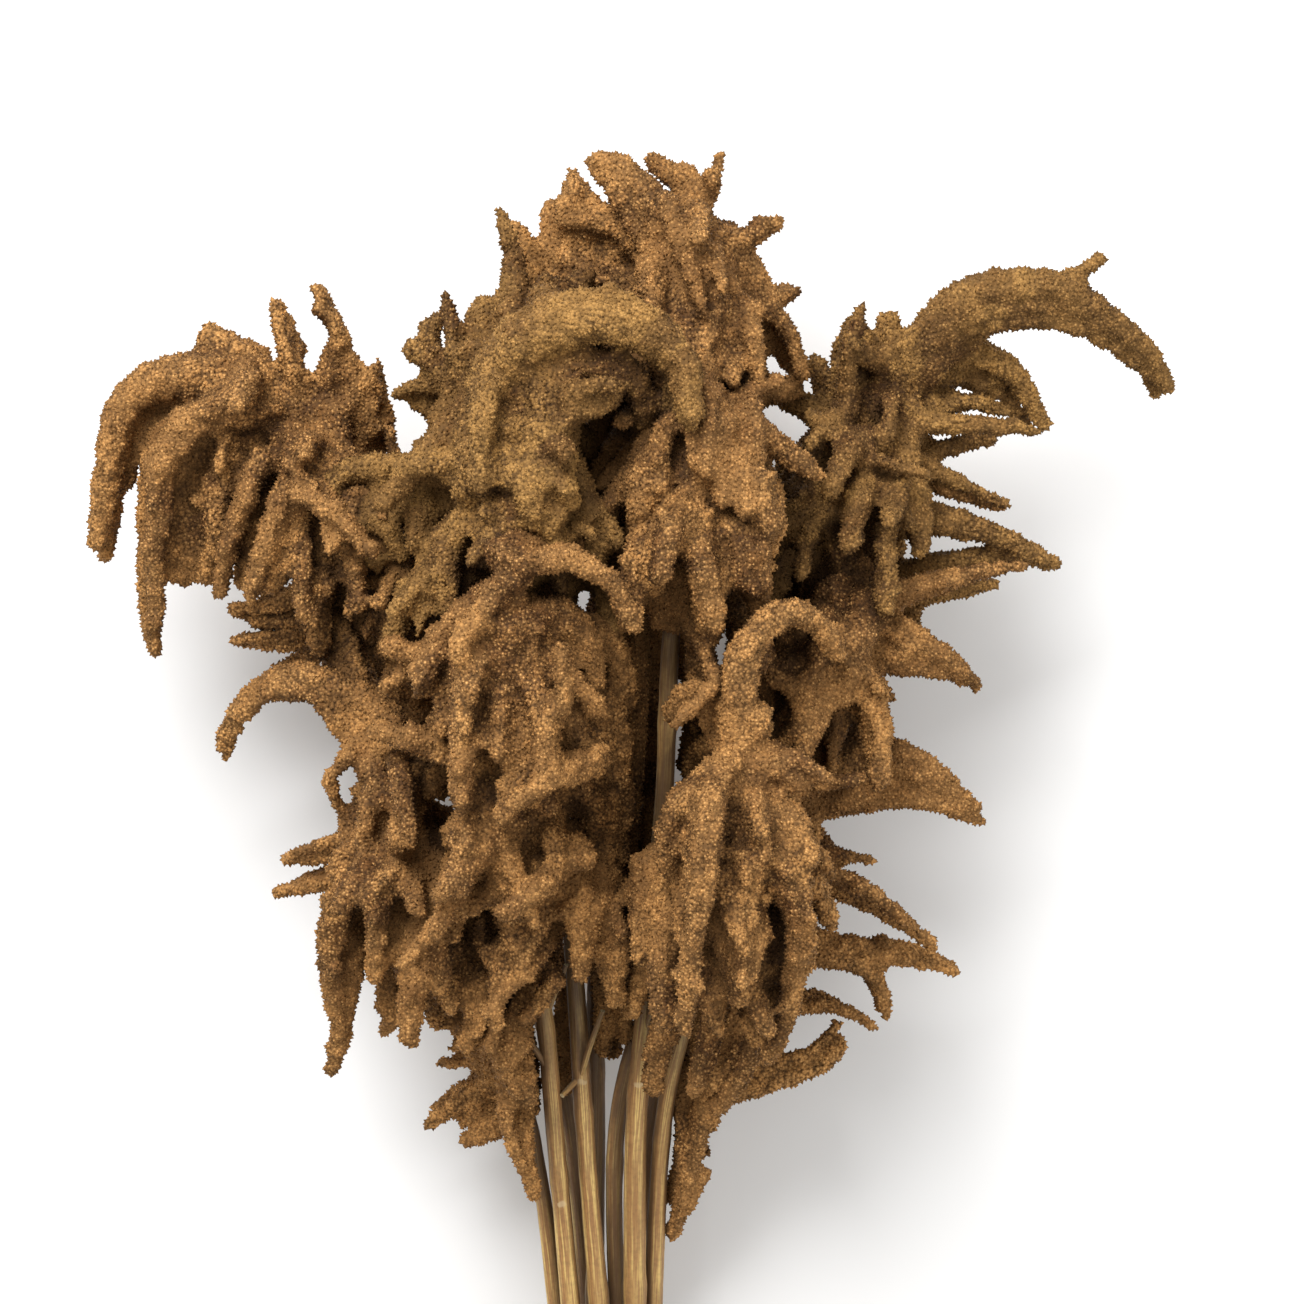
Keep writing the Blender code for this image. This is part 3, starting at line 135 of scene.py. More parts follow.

# Each stem as in the part's source: its place in the bundle, thickness at the cut end and at the
# top, route above the tie, side shoots, rachis and core; then how many short tails to add round
# its core, and more tails that are seen in the picture (root thickness, tip thickness, route, and
# the tone of those that stand out, from 0 to 1).
STEMS = {
    "far_left": {
        "place": (-1, -1), "thick": (8.2, 6.0), "butt": 4,
        "stalk": [(-23, 60, 39), (-37, 110, 44), (-60, 175, 56), (-77, 215, 66)],
        "rachis": [(-77, 215, 66), (-98, 272, 78), (-125, 328, 88)], "core": 42, "short": 26,
        "more": [
            (18, 7, [(-153, 318, 100), (-167, 309, 98), (-171, 289, 94), (-173, 261, 88),
                     (-172, 236, 80)], 1.0),
            (18, 8, [(-153, 334, 102), (-172, 332, 101), (-182, 323, 99), (-187, 306, 97),
                     (-190, 287, 91), (-192, 271, 86)], 0.65),
            (9, 5, [(-88, 311, 84), (-89, 325, 86), (-91, 338, 88)]),
            (12, 6, [(-158, 324, 90), (-173, 318, 90), (-180, 302, 88), (-181, 292, 84)]),
            (14, 8, [(-153, 311, 94), (-162, 297, 92), (-165, 275, 90), (-165, 260, 84)]),
            (12, 8, [(-145, 297, 98), (-149, 275, 96), (-153, 259, 88)]),
            (12, 8, [(-132, 297, 104), (-136, 275, 102), (-140, 257, 94)]),
            (12, 8, [(-120, 286, 112), (-125, 268, 112), (-129, 255, 106)]),
            (12, 4, [(-115, 257, 88), (-131, 251, 84), (-146, 251, 78)]),
            (10, 4, [(-110, 239, 78), (-128, 238, 78), (-145, 239, 72)]),
            (10, 4, [(-103, 235, 72), (-115, 233, 72), (-129, 229, 66)]),
            (13, 5, [(-100, 322, 94), (-102, 340, 98), (-107, 355, 100), (-112, 367, 100)]),
            (10, 5, [(-119, 329, 96), (-124, 345, 100), (-129, 362, 100)]),
            (9, 5, [(-129, 334, 96), (-142, 345, 96), (-154, 353, 94)]),
            (10, 5, [(-93, 315, 92), (-95, 327, 96), (-92, 339, 98)]),
        ],
    },
    "low_left": {
        "place": (-3, 0), "thick": (7.6, 5.4), "butt": -3,
        "stalk": [(-31, 20, 46), (-34, 42, 52), (-40, 72, 63)],
        "rachis": [(-40, 72, 63), (-60, 120, 86), (-90, 190, 104)], "core": 32, "short": 22,
        "more": [
            (12, 7, [(-76, 163, 92), (-84, 145, 90), (-86, 127, 86), (-89, 103, 78)]),
            (10, 6, [(-115, 245, 86), (-131, 245, 80), (-140, 249, 76)]),
            (10, 5, [(-108, 251, 88), (-125, 248, 82), (-143, 250, 76)]),
            (15, 6, [(-93, 213, 104), (-106, 222, 104), (-120, 226, 102), (-132, 222, 96),
                     (-142, 212, 88), (-148, 199, 80)]),
            (17, 13, [(-86, 205, 106), (-94, 216, 104), (-103, 221, 100)]),
            (11, 7, [(-88, 200, 112), (-76, 198, 118), (-68, 192, 120), (-68, 181, 114)]),
            (10, 5, [(-103, 163, 86), (-115, 161, 82), (-126, 160, 76)]),
            (10, 5, [(-103, 153, 80), (-119, 150, 74), (-130, 148, 68)]),
            (12, 6, [(-94, 149, 100), (-99, 127, 100), (-102, 108, 92), (-105, 91, 84),
                     (-109, 81, 80)]),
            (11, 6, [(-72, 115, 84), (-83, 105, 80), (-90, 97, 74)]),
            (9, 5, [(-68, 115, 90), (-71, 106, 86), (-68, 99, 80)]),
            (9, 4, [(-50, 91, 60), (-61, 88, 58), (-70, 86, 54)]),
            (12, 5, [(-47, 81, 60), (-61, 73, 56), (-75, 63, 50)]),
            (13, 6, [(-38, 70, 66), (-50, 63, 62), (-62, 58, 58)]),
            (11, 6, [(-40, 66, 72), (-37, 50, 70), (-34, 37, 66)]),
        ],
    },
    "front_left": {
        "place": (-2, 1), "thick": (8.6, 6.0), "butt": 2,
        "stalk": [(-28, 60, 64), (-31, 100, 82), (-34, 122, 97)],
        "rachis": [(-34, 122, 97), (-42, 185, 132), (-42, 250, 164)], "core": 36, "short": 22,
        "twigs": [[(-31, 102, 82), (-27, 112, 91), (-23, 122, 96)],
                  [(-31, 84, 75), (-36, 92, 80), (-41, 100, 84)]],
        "scars": (33, 106),
        "more": [
            (16, 9, [(-18, 243, 138), (-9, 239, 130), (-3, 228, 124), (-1, 213, 118)]),
            (16, 9, [(-20, 221, 134), (-9, 215, 126), (-4, 202, 120), (-4, 188, 114)]),
            (15, 9, [(-20, 201, 130), (-9, 196, 120), (-3, 183, 114), (-3, 168, 108)]),
            (16, 10, [(-22, 185, 122), (-11, 177, 116), (-6, 165, 110), (-7, 148, 104)]),
            (15, 9, [(-25, 163, 114), (-14, 157, 108), (-9, 144, 102), (-11, 127, 96)]),
            (14, 9, [(-11, 197, 152), (-23, 193, 160), (-34, 187, 160), (-42, 179, 154)], 1.0),
            (13, 8, [(-24, 161, 136), (-36, 153, 138), (-46, 142, 132)], 0.9),
            (13, 8, [(-32, 153, 130), (-47, 151, 132), (-58, 143, 126)]),
            (13, 8, [(-20, 201, 146), (-23, 217, 152), (-25, 237, 152)]),
            (14, 8, [(-45, 210, 150), (-52, 201, 154), (-58, 185, 148)]),
            (15, 9, [(-25, 217, 134), (-14, 216, 130), (-10, 199, 124)]),
            (15, 9, [(-25, 248, 152), (-16, 239, 148), (-12, 221, 142)]),
            (15, 10, [(-25, 189, 128), (-14, 181, 122), (-11, 166, 114)]),
            (13, 8, [(-22, 145, 116), (-9, 124, 112), (-4, 106, 104)]),
            (14, 9, [(-54, 196, 130), (-68, 192, 124), (-74, 181, 120)]),
            (13, 8, [(-58, 221, 140), (-68, 210, 136), (-71, 196, 130)]),
            (13, 8, [(-25, 160, 124), (-14, 145, 126), (-16, 129, 120)]),
            (14, 9, [(-58, 163, 124), (-65, 149, 122), (-66, 135, 114)]),
        ],
    },
    "centre_left": {
        "place": (0, 1), "thick": (8.6, 5.6), "butt": 0,
        "stalk": [(-17, 60, 61), (-20, 110, 70), (-26, 185, 92), (-32, 240, 118)],
        "rachis": [(-32, 240, 118), (-40, 295, 134), (-42, 345, 142)], "core": 42, "short": 22,
        "twigs": [[(-19, 76, 64), (-15, 90, 73), (-10, 104, 80)],
                  [(-19, 78, 65), (-23, 74, 68), (-25, 72, 70)]],
        "scars": (77,),
        "more": [
            (9, 5, [(-65, 333, 128), (-74, 339, 126), (-81, 344, 122)]),
            (8, 5, [(-72, 331, 126), (-78, 330, 122), (-86, 327, 118)]),
            (20, 11, [(-50, 323, 150), (-42, 342, 163), (-25, 352, 171), (-9, 354, 173),
                      (7, 348, 170), (18, 336, 163), (19, 312, 151)], 1.0),
            (17, 10, [(-45, 311, 146), (-33, 331, 160), (-14, 338, 164), (1, 333, 160),
                      (7, 315, 148)], 0.1),
            (16, 9, [(-40, 300, 150), (-29, 316, 164), (-14, 324, 170), (-3, 327, 166)], 0.2),
            (15, 8, [(-48, 311, 154), (-36, 315, 168), (-27, 311, 170), (-20, 300, 164)], 0.6),
            (15, 8, [(-58, 293, 150), (-47, 302, 165), (-32, 299, 169), (-18, 287, 162)], 0.8),
            (13, 8, [(-45, 300, 166), (-36, 291, 171), (-34, 278, 164)], 0.8),
            (14, 8, [(-58, 300, 146), (-72, 303, 150), (-85, 300, 144)]),
            (16, 10, [(-47, 336, 132), (-54, 352, 130), (-50, 363, 126)]),
            (13, 7, [(-65, 336, 126), (-73, 349, 122), (-68, 357, 120)]),
            (12, 5, [(-63, 324, 122), (-74, 330, 118), (-86, 327, 112)]),
            (12, 6, [(-68, 340, 124), (-77, 343, 120), (-82, 345, 116)]),
            (15, 11, [(-11, 331, 128), (-21, 343, 120), (-25, 350, 114)]),
            (14, 9, [(-72, 300, 128), (-71, 286, 130), (-73, 275, 124)]),
            (14, 9, [(-58, 268, 132), (-60, 257, 134), (-63, 243, 126)]),
            (14, 9, [(-76, 257, 130), (-83, 246, 126), (-84, 232, 118)]),
            (13, 8, [(-97, 286, 120), (-86, 279, 124), (-81, 266, 120)]),
            (12, 8, [(-106, 297, 118), (-103, 279, 122), (-88, 264, 120)]),
        ],
    },
    "top": {
        "place": (-1, 0), "thick": (8.2, 5.6), "butt": -4,
        "stalk": [(-13, 60, 46), (-13, 110, 53), (-6, 200, 72), (2, 262, 86)],
        "rachis": [(2, 262, 86), (16, 330, 102), (22, 390, 110)], "core": 42, "short": 26,
        "more": [
            (12, 8, [(-20, 361, 104), (-34, 370, 104), (-39, 382, 104), (-43, 390, 102)]),
            (9, 6, [(47, 361, 108), (58, 347, 102), (63, 332, 98)]),
            (14, 9, [(25, 384, 118), (39, 377, 112), (48, 367, 104)]),
            (12, 7, [(25, 375, 114), (43, 365, 108), (61, 364, 100)]),
            (12, 8, [(-25, 392, 112), (-21, 399, 110), (-20, 406, 106)]),
            (10, 7, [(-20, 381, 104), (-14, 390, 106), (-14, 396, 106)]),
            (12, 7, [(-16, 153, 64), (-21, 127, 60), (-24, 102, 57), (-23, 75, 54)]),
            (12, 8, [(-11, 153, 54), (-6, 124, 48), (-6, 102, 46), (-6, 88, 45)]),
            (15, 8, [(-14, 145, 72), (-11, 124, 67), (-9, 104, 63), (-10, 89, 58)]),
            (12, 7, [(-1, 145, 82), (-1, 124, 74), (-1, 106, 70), (-2, 93, 67)]),
            (16, 8, [(18, 379, 124), (7, 399, 124), (-5, 410, 120), (-15, 412, 116)]),
            (16, 10, [(4, 354, 106), (-11, 367, 104), (-20, 383, 104), (-24, 397, 104)]),
            (15, 7, [(-4, 347, 100), (-22, 361, 98), (-32, 375, 98), (-37, 384, 96)]),
            (8, 5, [(14, 365, 118), (1, 380, 116), (-9, 391, 112)]),
            (12, 8, [(22, 387, 118), (22, 401, 118), (19, 411, 114)]),
            (12, 6, [(29, 372, 112), (41, 383, 112), (53, 389, 108)]),
            (15, 9, [(25, 322, 100), (45, 328, 96), (63, 330, 90)]),
            (11, 5, [(36, 358, 100), (56, 352, 94), (61, 336, 88)]),
            (17, 12, [(0, 253, 78), (-4, 221, 70), (-3, 189, 62), (-2, 160, 56)]),
            (17, 12, [(9, 250, 70), (7, 214, 60), (8, 181, 52), (4, 153, 50)]),
            (16, 10, [(-7, 253, 74), (-15, 221, 68), (-16, 192, 62), (-11, 167, 58)]),
            (16, 10, [(18, 253, 76), (25, 221, 68), (21, 189, 60)]),
        ],
    },
    "centre_right": {
        "place": (2, 1), "thick": (10.0, 6.2), "butt": 3,
        "stalk": [(2, 60, 63), (6, 110, 82), (12, 180, 106), (15, 244, 124)],
        "rachis": [(15, 244, 124), (21, 284, 136), (30, 324, 142)], "core": 34, "short": 20,
        "twigs": [[(5, 94, 76), (8, 106, 86), (10, 118, 92)],
                  [(6, 97, 78), (11, 101, 84), (14, 103, 86)]],
        "scars": (77,),
        "more": [
            (14, 9, [(25, 298, 150), (42, 296, 156), (51, 284, 154), (48, 273, 146),
                     (39, 262, 138)], 0.8),
            (15, 9, [(22, 282, 156), (15, 277, 162), (9, 268, 160), (9, 256, 150)], 1.0),
            (17, 11, [(21, 277, 150), (27, 261, 152), (30, 239, 144)]),
            (14, 8, [(27, 282, 146), (35, 268, 148), (37, 257, 142)]),
            (15, 9, [(5, 300, 152), (4, 286, 154), (6, 273, 146)]),
            (14, 9, [(25, 261, 132), (38, 250, 124), (39, 228, 116)]),
            (13, 8, [(22, 268, 134), (25, 246, 132), (23, 221, 124)]),
            (13, 8, [(9, 268, 132), (-2, 257, 132), (-6, 239, 126)]),
            (14, 9, [(32, 300, 138), (48, 297, 134), (52, 279, 130)]),
        ],
    },
    "right_arch": {
        "place": (2, -1), "thick": (8.6, 6.0), "butt": 4,
        "stalk": [(8, 60, 38), (22, 110, 39), (44, 185, 44), (60, 232, 54)],
        "rachis": [(60, 232, 54), (80, 285, 68), (96, 330, 82)], "core": 40, "short": 24,
        "more": [
            (9, 6, [(79, 325, 84), (75, 337, 86), (76, 349, 88)]),
            (9, 6, [(108, 307, 80), (119, 310, 78), (133, 312, 76)]),
            (11, 7, [(79, 333, 84), (82, 345, 88), (82, 357, 90)]),
            (18, 8, [(106, 345, 92), (121, 361, 98), (137, 366, 102), (155, 365, 102),
                     (173, 354, 98), (187, 341, 90), (194, 328, 82)], 0.3),
            (15, 7, [(106, 336, 90), (117, 351, 94), (135, 356, 98), (155, 355, 98),
                     (172, 348, 94), (186, 336, 86)], 0.3),
            (9, 5, [(148, 365, 100), (162, 372, 100), (171, 378, 98)], 0.3),
            (15, 6, [(108, 334, 80), (121, 343, 82), (138, 335, 80), (146, 322, 76),
                     (150, 314, 72)], 1.0),
            (11, 5, [(104, 322, 84), (122, 325, 84), (138, 320, 80)], 1.0),
            (10, 5, [(92, 333, 86), (94, 349, 90), (95, 358, 90)]),
            (11, 5, [(90, 340, 92), (78, 343, 98), (80, 357, 98)]),
            (15, 8, [(79, 315, 84), (66, 322, 84), (53, 326, 84)]),
            (14, 8, [(79, 325, 80), (69, 333, 78), (66, 342, 76)]),
            (12, 4, [(97, 302, 80), (117, 294, 78), (138, 287, 72)]),
            (14, 5, [(94, 282, 84), (115, 281, 86), (137, 274, 84), (156, 265, 78)]),
            (13, 5, [(94, 262, 76), (110, 266, 78), (133, 269, 78), (153, 266, 76)]),
            (11, 5, [(94, 256, 72), (115, 256, 74), (133, 260, 74)]),
        ],
    },
    "right_mid": {
        "place": (1, 0), "thick": (7.8, 5.4), "butt": -2,
        "stalk": [(-5, 60, 52), (6, 104, 60), (20, 132, 64)],
        "rachis": [(20, 132, 64), (48, 188, 78), (82, 248, 92)], "core": 36, "short": 26,
        "more": [
            (10, 5, [(97, 300, 84), (117, 292, 80), (136, 287, 76)]),
            (13, 5, [(83, 237, 92), (99, 231, 94), (115, 228, 92), (127, 222, 86)]),
            (9, 4, [(79, 221, 84), (88, 220, 84), (96, 218, 80)]),
            (13, 5, [(67, 181, 80), (86, 182, 84), (108, 181, 82), (128, 173, 76)]),
            (11, 4, [(83, 201, 86), (99, 199, 88), (113, 190, 84), (127, 176, 78)]),
            (9, 4, [(68, 159, 74), (80, 161, 74), (89, 159, 70)]),
            (11, 4, [(72, 151, 78), (90, 142, 76), (111, 127, 70)]),
            (12, 5, [(61, 126, 66), (79, 123, 64), (90, 115, 60), (92, 102, 54)]),
            (10, 4, [(83, 126, 62), (104, 123, 60), (120, 119, 56)]),
            (11, 4, [(54, 108, 56), (74, 107, 54), (89, 99, 48)]),
            (14, 6, [(32, 78, 70), (56, 82, 68), (71, 87, 66), (76, 93, 62), (74, 97, 60)]),
            (12, 7, [(38, 95, 72), (31, 77, 68), (28, 61, 60)]),
            (12, 6, [(27, 73, 64), (22, 50, 56), (18, 33, 48), (14, 23, 42)]),
            (8, 5, [(20, 32, 52), (24, 41, 52), (29, 49, 50)]),
            (15, 9, [(41, 192, 84), (27, 201, 86), (22, 183, 80)]),
            (15, 9, [(58, 217, 92), (40, 221, 94), (31, 208, 90)]),
        ],
    },
    "low_right": {
        "place": (3, 0), "thick": (8.2, 6.0), "butt": 1,
        "stalk": [(12, 60, 58), (19, 98, 80), (22, 116, 96)],
        "rachis": [(22, 116, 96), (30, 150, 126), (38, 192, 146)], "core": 32, "short": 20,
        "more": [
            (15, 8, [(39, 210, 150), (42, 236, 156), (55, 249, 156), (66, 246, 150),
                     (76, 232, 140)], 0.7),
            (12, 8, [(30, 212, 140), (27, 221, 146), (21, 221, 146), (14, 209, 136)]),
            (14, 9, [(32, 192, 156), (25, 181, 160), (25, 163, 154), (22, 145, 146)], 1.0),
            (13, 8, [(14, 145, 112), (5, 124, 106), (0, 102, 96)]),
            (13, 8, [(18, 109, 100), (10, 91, 92), (8, 75, 82)]),
            (14, 9, [(54, 153, 150), (61, 138, 146), (63, 120, 138)]),
            (14, 9, [(25, 185, 160), (15, 174, 158), (14, 153, 150)]),
        ],
    },
}
GOLDEN_HEADS = ("centre_left", "right_arch")


# Routes

def smooth_route(points, step):
    """Points about every step millimetres on a centripetal Catmull-Rom curve."""
    given = np.array(points, dtype=float)
    knots = np.vstack([2 * given[0] - given[1], given, 2 * given[-1] - given[-2]])
    fine = [given[0]]
    for p0, p1, p2, p3 in zip(knots, knots[1:], knots[2:], knots[3:]):
        t1 = math.sqrt(np.linalg.norm(p1 - p0))
        t2 = t1 + math.sqrt(np.linalg.norm(p2 - p1))
        t3 = t2 + math.sqrt(np.linalg.norm(p3 - p2))
        for t in np.linspace(t1, t2, 13)[1:]:
            a1 = (t1 - t) / t1 * p0 + t / t1 * p1
            a2 = (t2 - t) / (t2 - t1) * p1 + (t - t1) / (t2 - t1) * p2
            a3 = (t3 - t) / (t3 - t2) * p2 + (t - t2) / (t3 - t2) * p3
            b1 = (t2 - t) / t2 * a1 + t / t2 * a2
            b2 = (t3 - t) / (t3 - t1) * a2 + (t - t1) / (t3 - t1) * a3
            fine.append((t2 - t) / (t2 - t1) * b1 + (t - t1) / (t2 - t1) * b2)
    return resample(np.array(fine), step)


def arc_lengths(path):
    """Distance along the path of each of its points."""
    steps = np.linalg.norm(np.diff(path, axis=0), axis=1)
    return np.concatenate([[0.0], np.cumsum(steps)])


def point_at(path, distances):
    """The points at the given distances along the path."""
    along = arc_lengths(path)
    return np.column_stack([np.interp(distances, along, path[:, axis]) for axis in range(3)])


def resample(path, step):
    """The same path with evenly spaced points."""
    length = arc_lengths(path)[-1]
    return point_at(path, np.linspace(0.0, length, max(2, round(length / step) + 1)))


def bundle_height(y):
    """Height over the table of the bundle's middle."""
    ys, heights = zip(*AXIS_HEIGHT)
    return float(np.interp(y, ys, heights))


def stem_routes(stem):
    """A stem's stalk and rachis, as one smooth line split where the seed head begins."""
    column, row = stem["place"]
    across = column * STALK_PITCH / 2
    up = row * STALK_ROW
    end_y = CUT_END_Y + stem["butt"]
    cut_end = (BUNDLE_X + BUTT_SPREAD * across, end_y, bundle_height(end_y) + BUTT_SPREAD * up)
    below = (BUNDLE_X + across, TIE_Y - 12, bundle_height(TIE_Y - 12) + up)
    above = (BUNDLE_X + across, TIE_Y + 12, bundle_height(TIE_Y + 12) + up)
    whole = smooth_route([cut_end, below, above] + stem["stalk"] + stem["rachis"][1:], 1.0)
    split = int(np.argmin(np.linalg.norm(whole - np.array(stem["rachis"][0]), axis=1)))
    return whole[:split + 1] + ORIGIN, whole[split:] + ORIGIN


# Meshes

def as_seen(route):
    """A route read from the picture, spread or drawn in by its height under the camera."""
    route = np.array(route, dtype=float) + ORIGIN
    under = np.array(EYE[:2]) / MM
    scale = (EYE[2] / MM - route[:, 2:]) / ((EYE[2] - EYE_PLANE) / MM)
    return np.hstack([under + (route[:, :2] - under) * scale, route[:, 2:]])


def frames_along(path):
    """Two side directions at each point, turning as little as possible along the path."""
    ahead = np.gradient(path, axis=0)
    ahead /= np.linalg.norm(ahead, axis=1)[:, None]
    side = np.cross(ahead[0], (0.0, 0.0, 1.0))
    if np.linalg.norm(side) < 0.2:
        side = np.cross(ahead[0], (1.0, 0.0, 0.0))
    frames = []
    for direction in ahead:
        side = side - direction * np.dot(side, direction)
        side /= np.linalg.norm(side)
        frames.append((side, np.cross(direction, side)))
    return frames


def add_tail(mesh, path, root, tip, sides=8):
    """Skin one closed tail in the bmesh, round at its tip."""
    length = arc_lengths(path)[-1]
    share = np.append(np.linspace(0.0, 1.0 - 0.5 * tip / length, max(3, round(length / 5))),
                      [1.0 - 0.15 * tip / length, 1.0])
    points = point_at(path, share * length)
    swell = 1.0 + 0.10 * np.sin(math.pi * np.minimum(1.0, share * 1.6))
    radii = 0.5 * (root + (tip - root) * share ** 1.2) * swell
    radii[-2:] *= (0.72, 0.25)
    rings = []
    for centre, radius, (one, two) in zip(points, radii, frames_along(points)):
        angles = np.linspace(0.0, 2 * math.pi, sides, endpoint=False)
        rings.append([mesh.verts.new(Vector(
            (centre + radius * (math.cos(a) * one + math.sin(a) * two)) * MM)) for a in angles])
    for lower, upper in zip(rings, rings[1:]):
        for corner in range(sides):
            after = (corner + 1) % sides
            mesh.faces.new((lower[corner], lower[after], upper[after], upper[corner]))
    mesh.faces.new(rings[0][::-1])
    mesh.faces.new(rings[-1])


def link(name, data):
    """A scene object for a mesh or a curve."""
    obj = bpy.data.objects.new(name, data)
    bpy.context.scene.collection.objects.link(obj)
    return obj


def finished(obj):
    """The object's evaluated mesh as a plain object of the same name, without modifiers."""
    graph = bpy.context.evaluated_depsgraph_get()
    data = bpy.data.meshes.new_from_object(obj.evaluated_get(graph), depsgraph=graph)
    name = obj.name
    bpy.data.objects.remove(obj, do_unlink=True)
    data.name = name
    return link(name, data)


# Node trees

def add_node(tree, kind, inputs=None, **settings):
    """A node with its settings and input values; a socket among the values is linked."""
    node = tree.nodes.new(kind)
    for key, value in settings.items():
        setattr(node, key, value)
    for key, value in (inputs or {}).items():
        socket = node.inputs[key] if isinstance(key, int) else next(
            s for s in node.inputs if s.name == key and s.enabled)
        if isinstance(value, bpy.types.NodeSocket):
            tree.links.new(value, socket)
        else:
            socket.default_value = value
    return node


def output(node):
    """A node's first enabled output."""
    return next(s for s in node.outputs if s.enabled)


def calculate(tree, operation, *values):
    """The result of a Math node."""
    return output(add_node(
        tree, "ShaderNodeMath", dict(enumerate(values)), operation=operation))


def vector(tree, operation, one, two):
    """The result of a Vector Math node; for SCALE the second value is a number."""
    second = "Scale" if operation == "SCALE" else 1
    return output(add_node(
        tree, "ShaderNodeVectorMath", {0: one, second: two}, operation=operation))


def ramped(tree, value, low, high, kind="SMOOTHSTEP"):
    """A value stretched from low to high onto 0 to 1."""
    return output(add_node(
        tree, "ShaderNodeMapRange", {0: value, 1: low, 2: high}, interpolation_type=kind))


def position(tree):
    """Each point's place."""
    return output(add_node(tree, "GeometryNodeInputPosition"))


def outward(tree):
    """Each point's outward direction."""
    return output(add_node(tree, "GeometryNodeInputNormal"))


def kept(tree, name):
    """The number that each point has under a name."""
    return output(add_node(
        tree, "GeometryNodeInputNamedAttribute", {"Name": name}, data_type="FLOAT"))


def store(tree, geometry, name, value, domain="POINT", kind="FLOAT"):
    """Keep a value for each element under a name that the materials read."""
    return output(add_node(
        tree, "GeometryNodeStoreNamedAttribute",
        {"Geometry": geometry, "Name": name, "Value": value}, data_type=kind, domain=domain))


def shifted(tree, geometry, value, key="Offset"):
    """The geometry with its points moved by an offset, or to a Position."""
    return output(add_node(
        tree, "GeometryNodeSetPosition", {"Geometry": geometry, key: value}))


def random_value(tree, low, high, seed, kind="FLOAT"):
    """A random number or vector for each element."""
    return output(add_node(
        tree, "FunctionNodeRandomValue", {"Min": low, "Max": high, "Seed": seed}, data_type=kind))


def profile(tree, sides, radius):
    """A round profile that keeps which way each of its points faces."""
    circle = add_node(tree, "GeometryNodeCurvePrimitiveCircle",
                      {"Resolution": sides, "Radius": radius}, mode="RADIUS")
    return store(tree, output(circle), "side", position(tree), kind="FLOAT_VECTOR")


def new_tree(name, sockets):
    """A geometry node group with its named inputs (name, type, value)."""
    tree = bpy.data.node_groups.new(name, "GeometryNodeTree")
    tree.interface.new_socket("Geometry", in_out="INPUT", socket_type="NodeSocketGeometry")
    for label, kind, value in sockets:
        socket = tree.interface.new_socket(label, in_out="INPUT", socket_type=kind)
        socket.default_value = value
    tree.interface.new_socket("Geometry", in_out="OUTPUT", socket_type="NodeSocketGeometry")
    return tree, tree.nodes.new("NodeGroupInput"), tree.nodes.new("NodeGroupOutput")


def close_tree(tree, given, result, geometry, smooth=True):
    """End a tree: real geometry with smooth shading and its material."""
    geometry = output(add_node(tree, "GeometryNodeSetShadeSmooth", {
        "Geometry": geometry, "Shade Smooth": smooth}))
    geometry = output(add_node(tree, "GeometryNodeRealizeInstances", {"Geometry": geometry}))
    geometry = output(add_node(tree, "GeometryNodeSetMaterial", {
        "Geometry": geometry, "Material": given.outputs["Material"]}))
    tree.links.new(geometry, result.inputs[0])
    return tree


def use_tree(obj, tree, **values):
    """Give the object the tree as a modifier, its inputs set by their identifiers."""
    modifier = obj.modifiers.new(tree.name, "NODES")
    modifier.node_group = tree
    for socket in tree.interface.items_tree:
        if socket.in_out == "INPUT" and socket.name in values:
            modifier[socket.identifier] = values[socket.name]


def husk_object():
    """One dry husk, a pointed scale a unit wide, with its root sunk below the origin."""
    mesh = bmesh.new()
    ring = [mesh.verts.new((0.66 * math.cos(a), 0.66 * math.sin(a), -0.25))
            for a in (0.0, math.tau / 3, math.tau * 2 / 3)]
    tip = mesh.verts.new((0.0, 0.0, 0.60))
    mesh.faces.new(ring[::-1])
    for one, two in zip(ring, ring[1:] + ring[:1]):
        mesh.faces.new((one, two, tip))
    data = bpy.data.meshes.new("husk")
    mesh.to_mesh(data)
    mesh.free()
    return link("husk", data)


def air_tree(mass):
    """Geometry nodes: keep how much open air each point sees, from 0 in a cleft to 1 outside; the
    materials paint shade and highlights by it.
    """
    tree, given, result = new_tree("open air", (
        ("Reach", "NodeSocketFloat", SKY_REACH * MM), ("Lift", "NodeSocketFloat", SKY_LIFT * MM)))
    normal = outward(tree)
    target = add_node(tree, "GeometryNodeObjectInfo", {"Object": mass}).outputs["Geometry"]
    rise = vector(tree, "SCALE", normal, given.outputs["Lift"])
    lifted = vector(tree, "ADD", position(tree), rise)
    hits = 0.0
    for number in range(SKY_RAYS):
        height = 1.0 - (2 * number + 1) / SKY_RAYS
        turn, reach = number * SKY_TURN, math.sqrt(1.0 - height * height)
        way = (reach * math.cos(turn), reach * math.sin(turn), height)
        facing = calculate(tree, "SIGN", vector(tree, "DOT_PRODUCT", normal, way))
        ray = add_node(tree, "GeometryNodeRaycast", {
            "Target Geometry": target, "Source Position": lifted,
            "Ray Direction": vector(tree, "SCALE", way, facing),
            "Ray Length": given.outputs["Reach"]})
        hits = calculate(tree, "ADD", ray.outputs["Is Hit"], hits)
    seen = calculate(tree, "SUBTRACT", 1.0, calculate(tree, "DIVIDE", hits, float(SKY_RAYS)))
    tree.links.new(store(tree, given.outputs["Geometry"], "open", seen), result.inputs[0])
    return tree


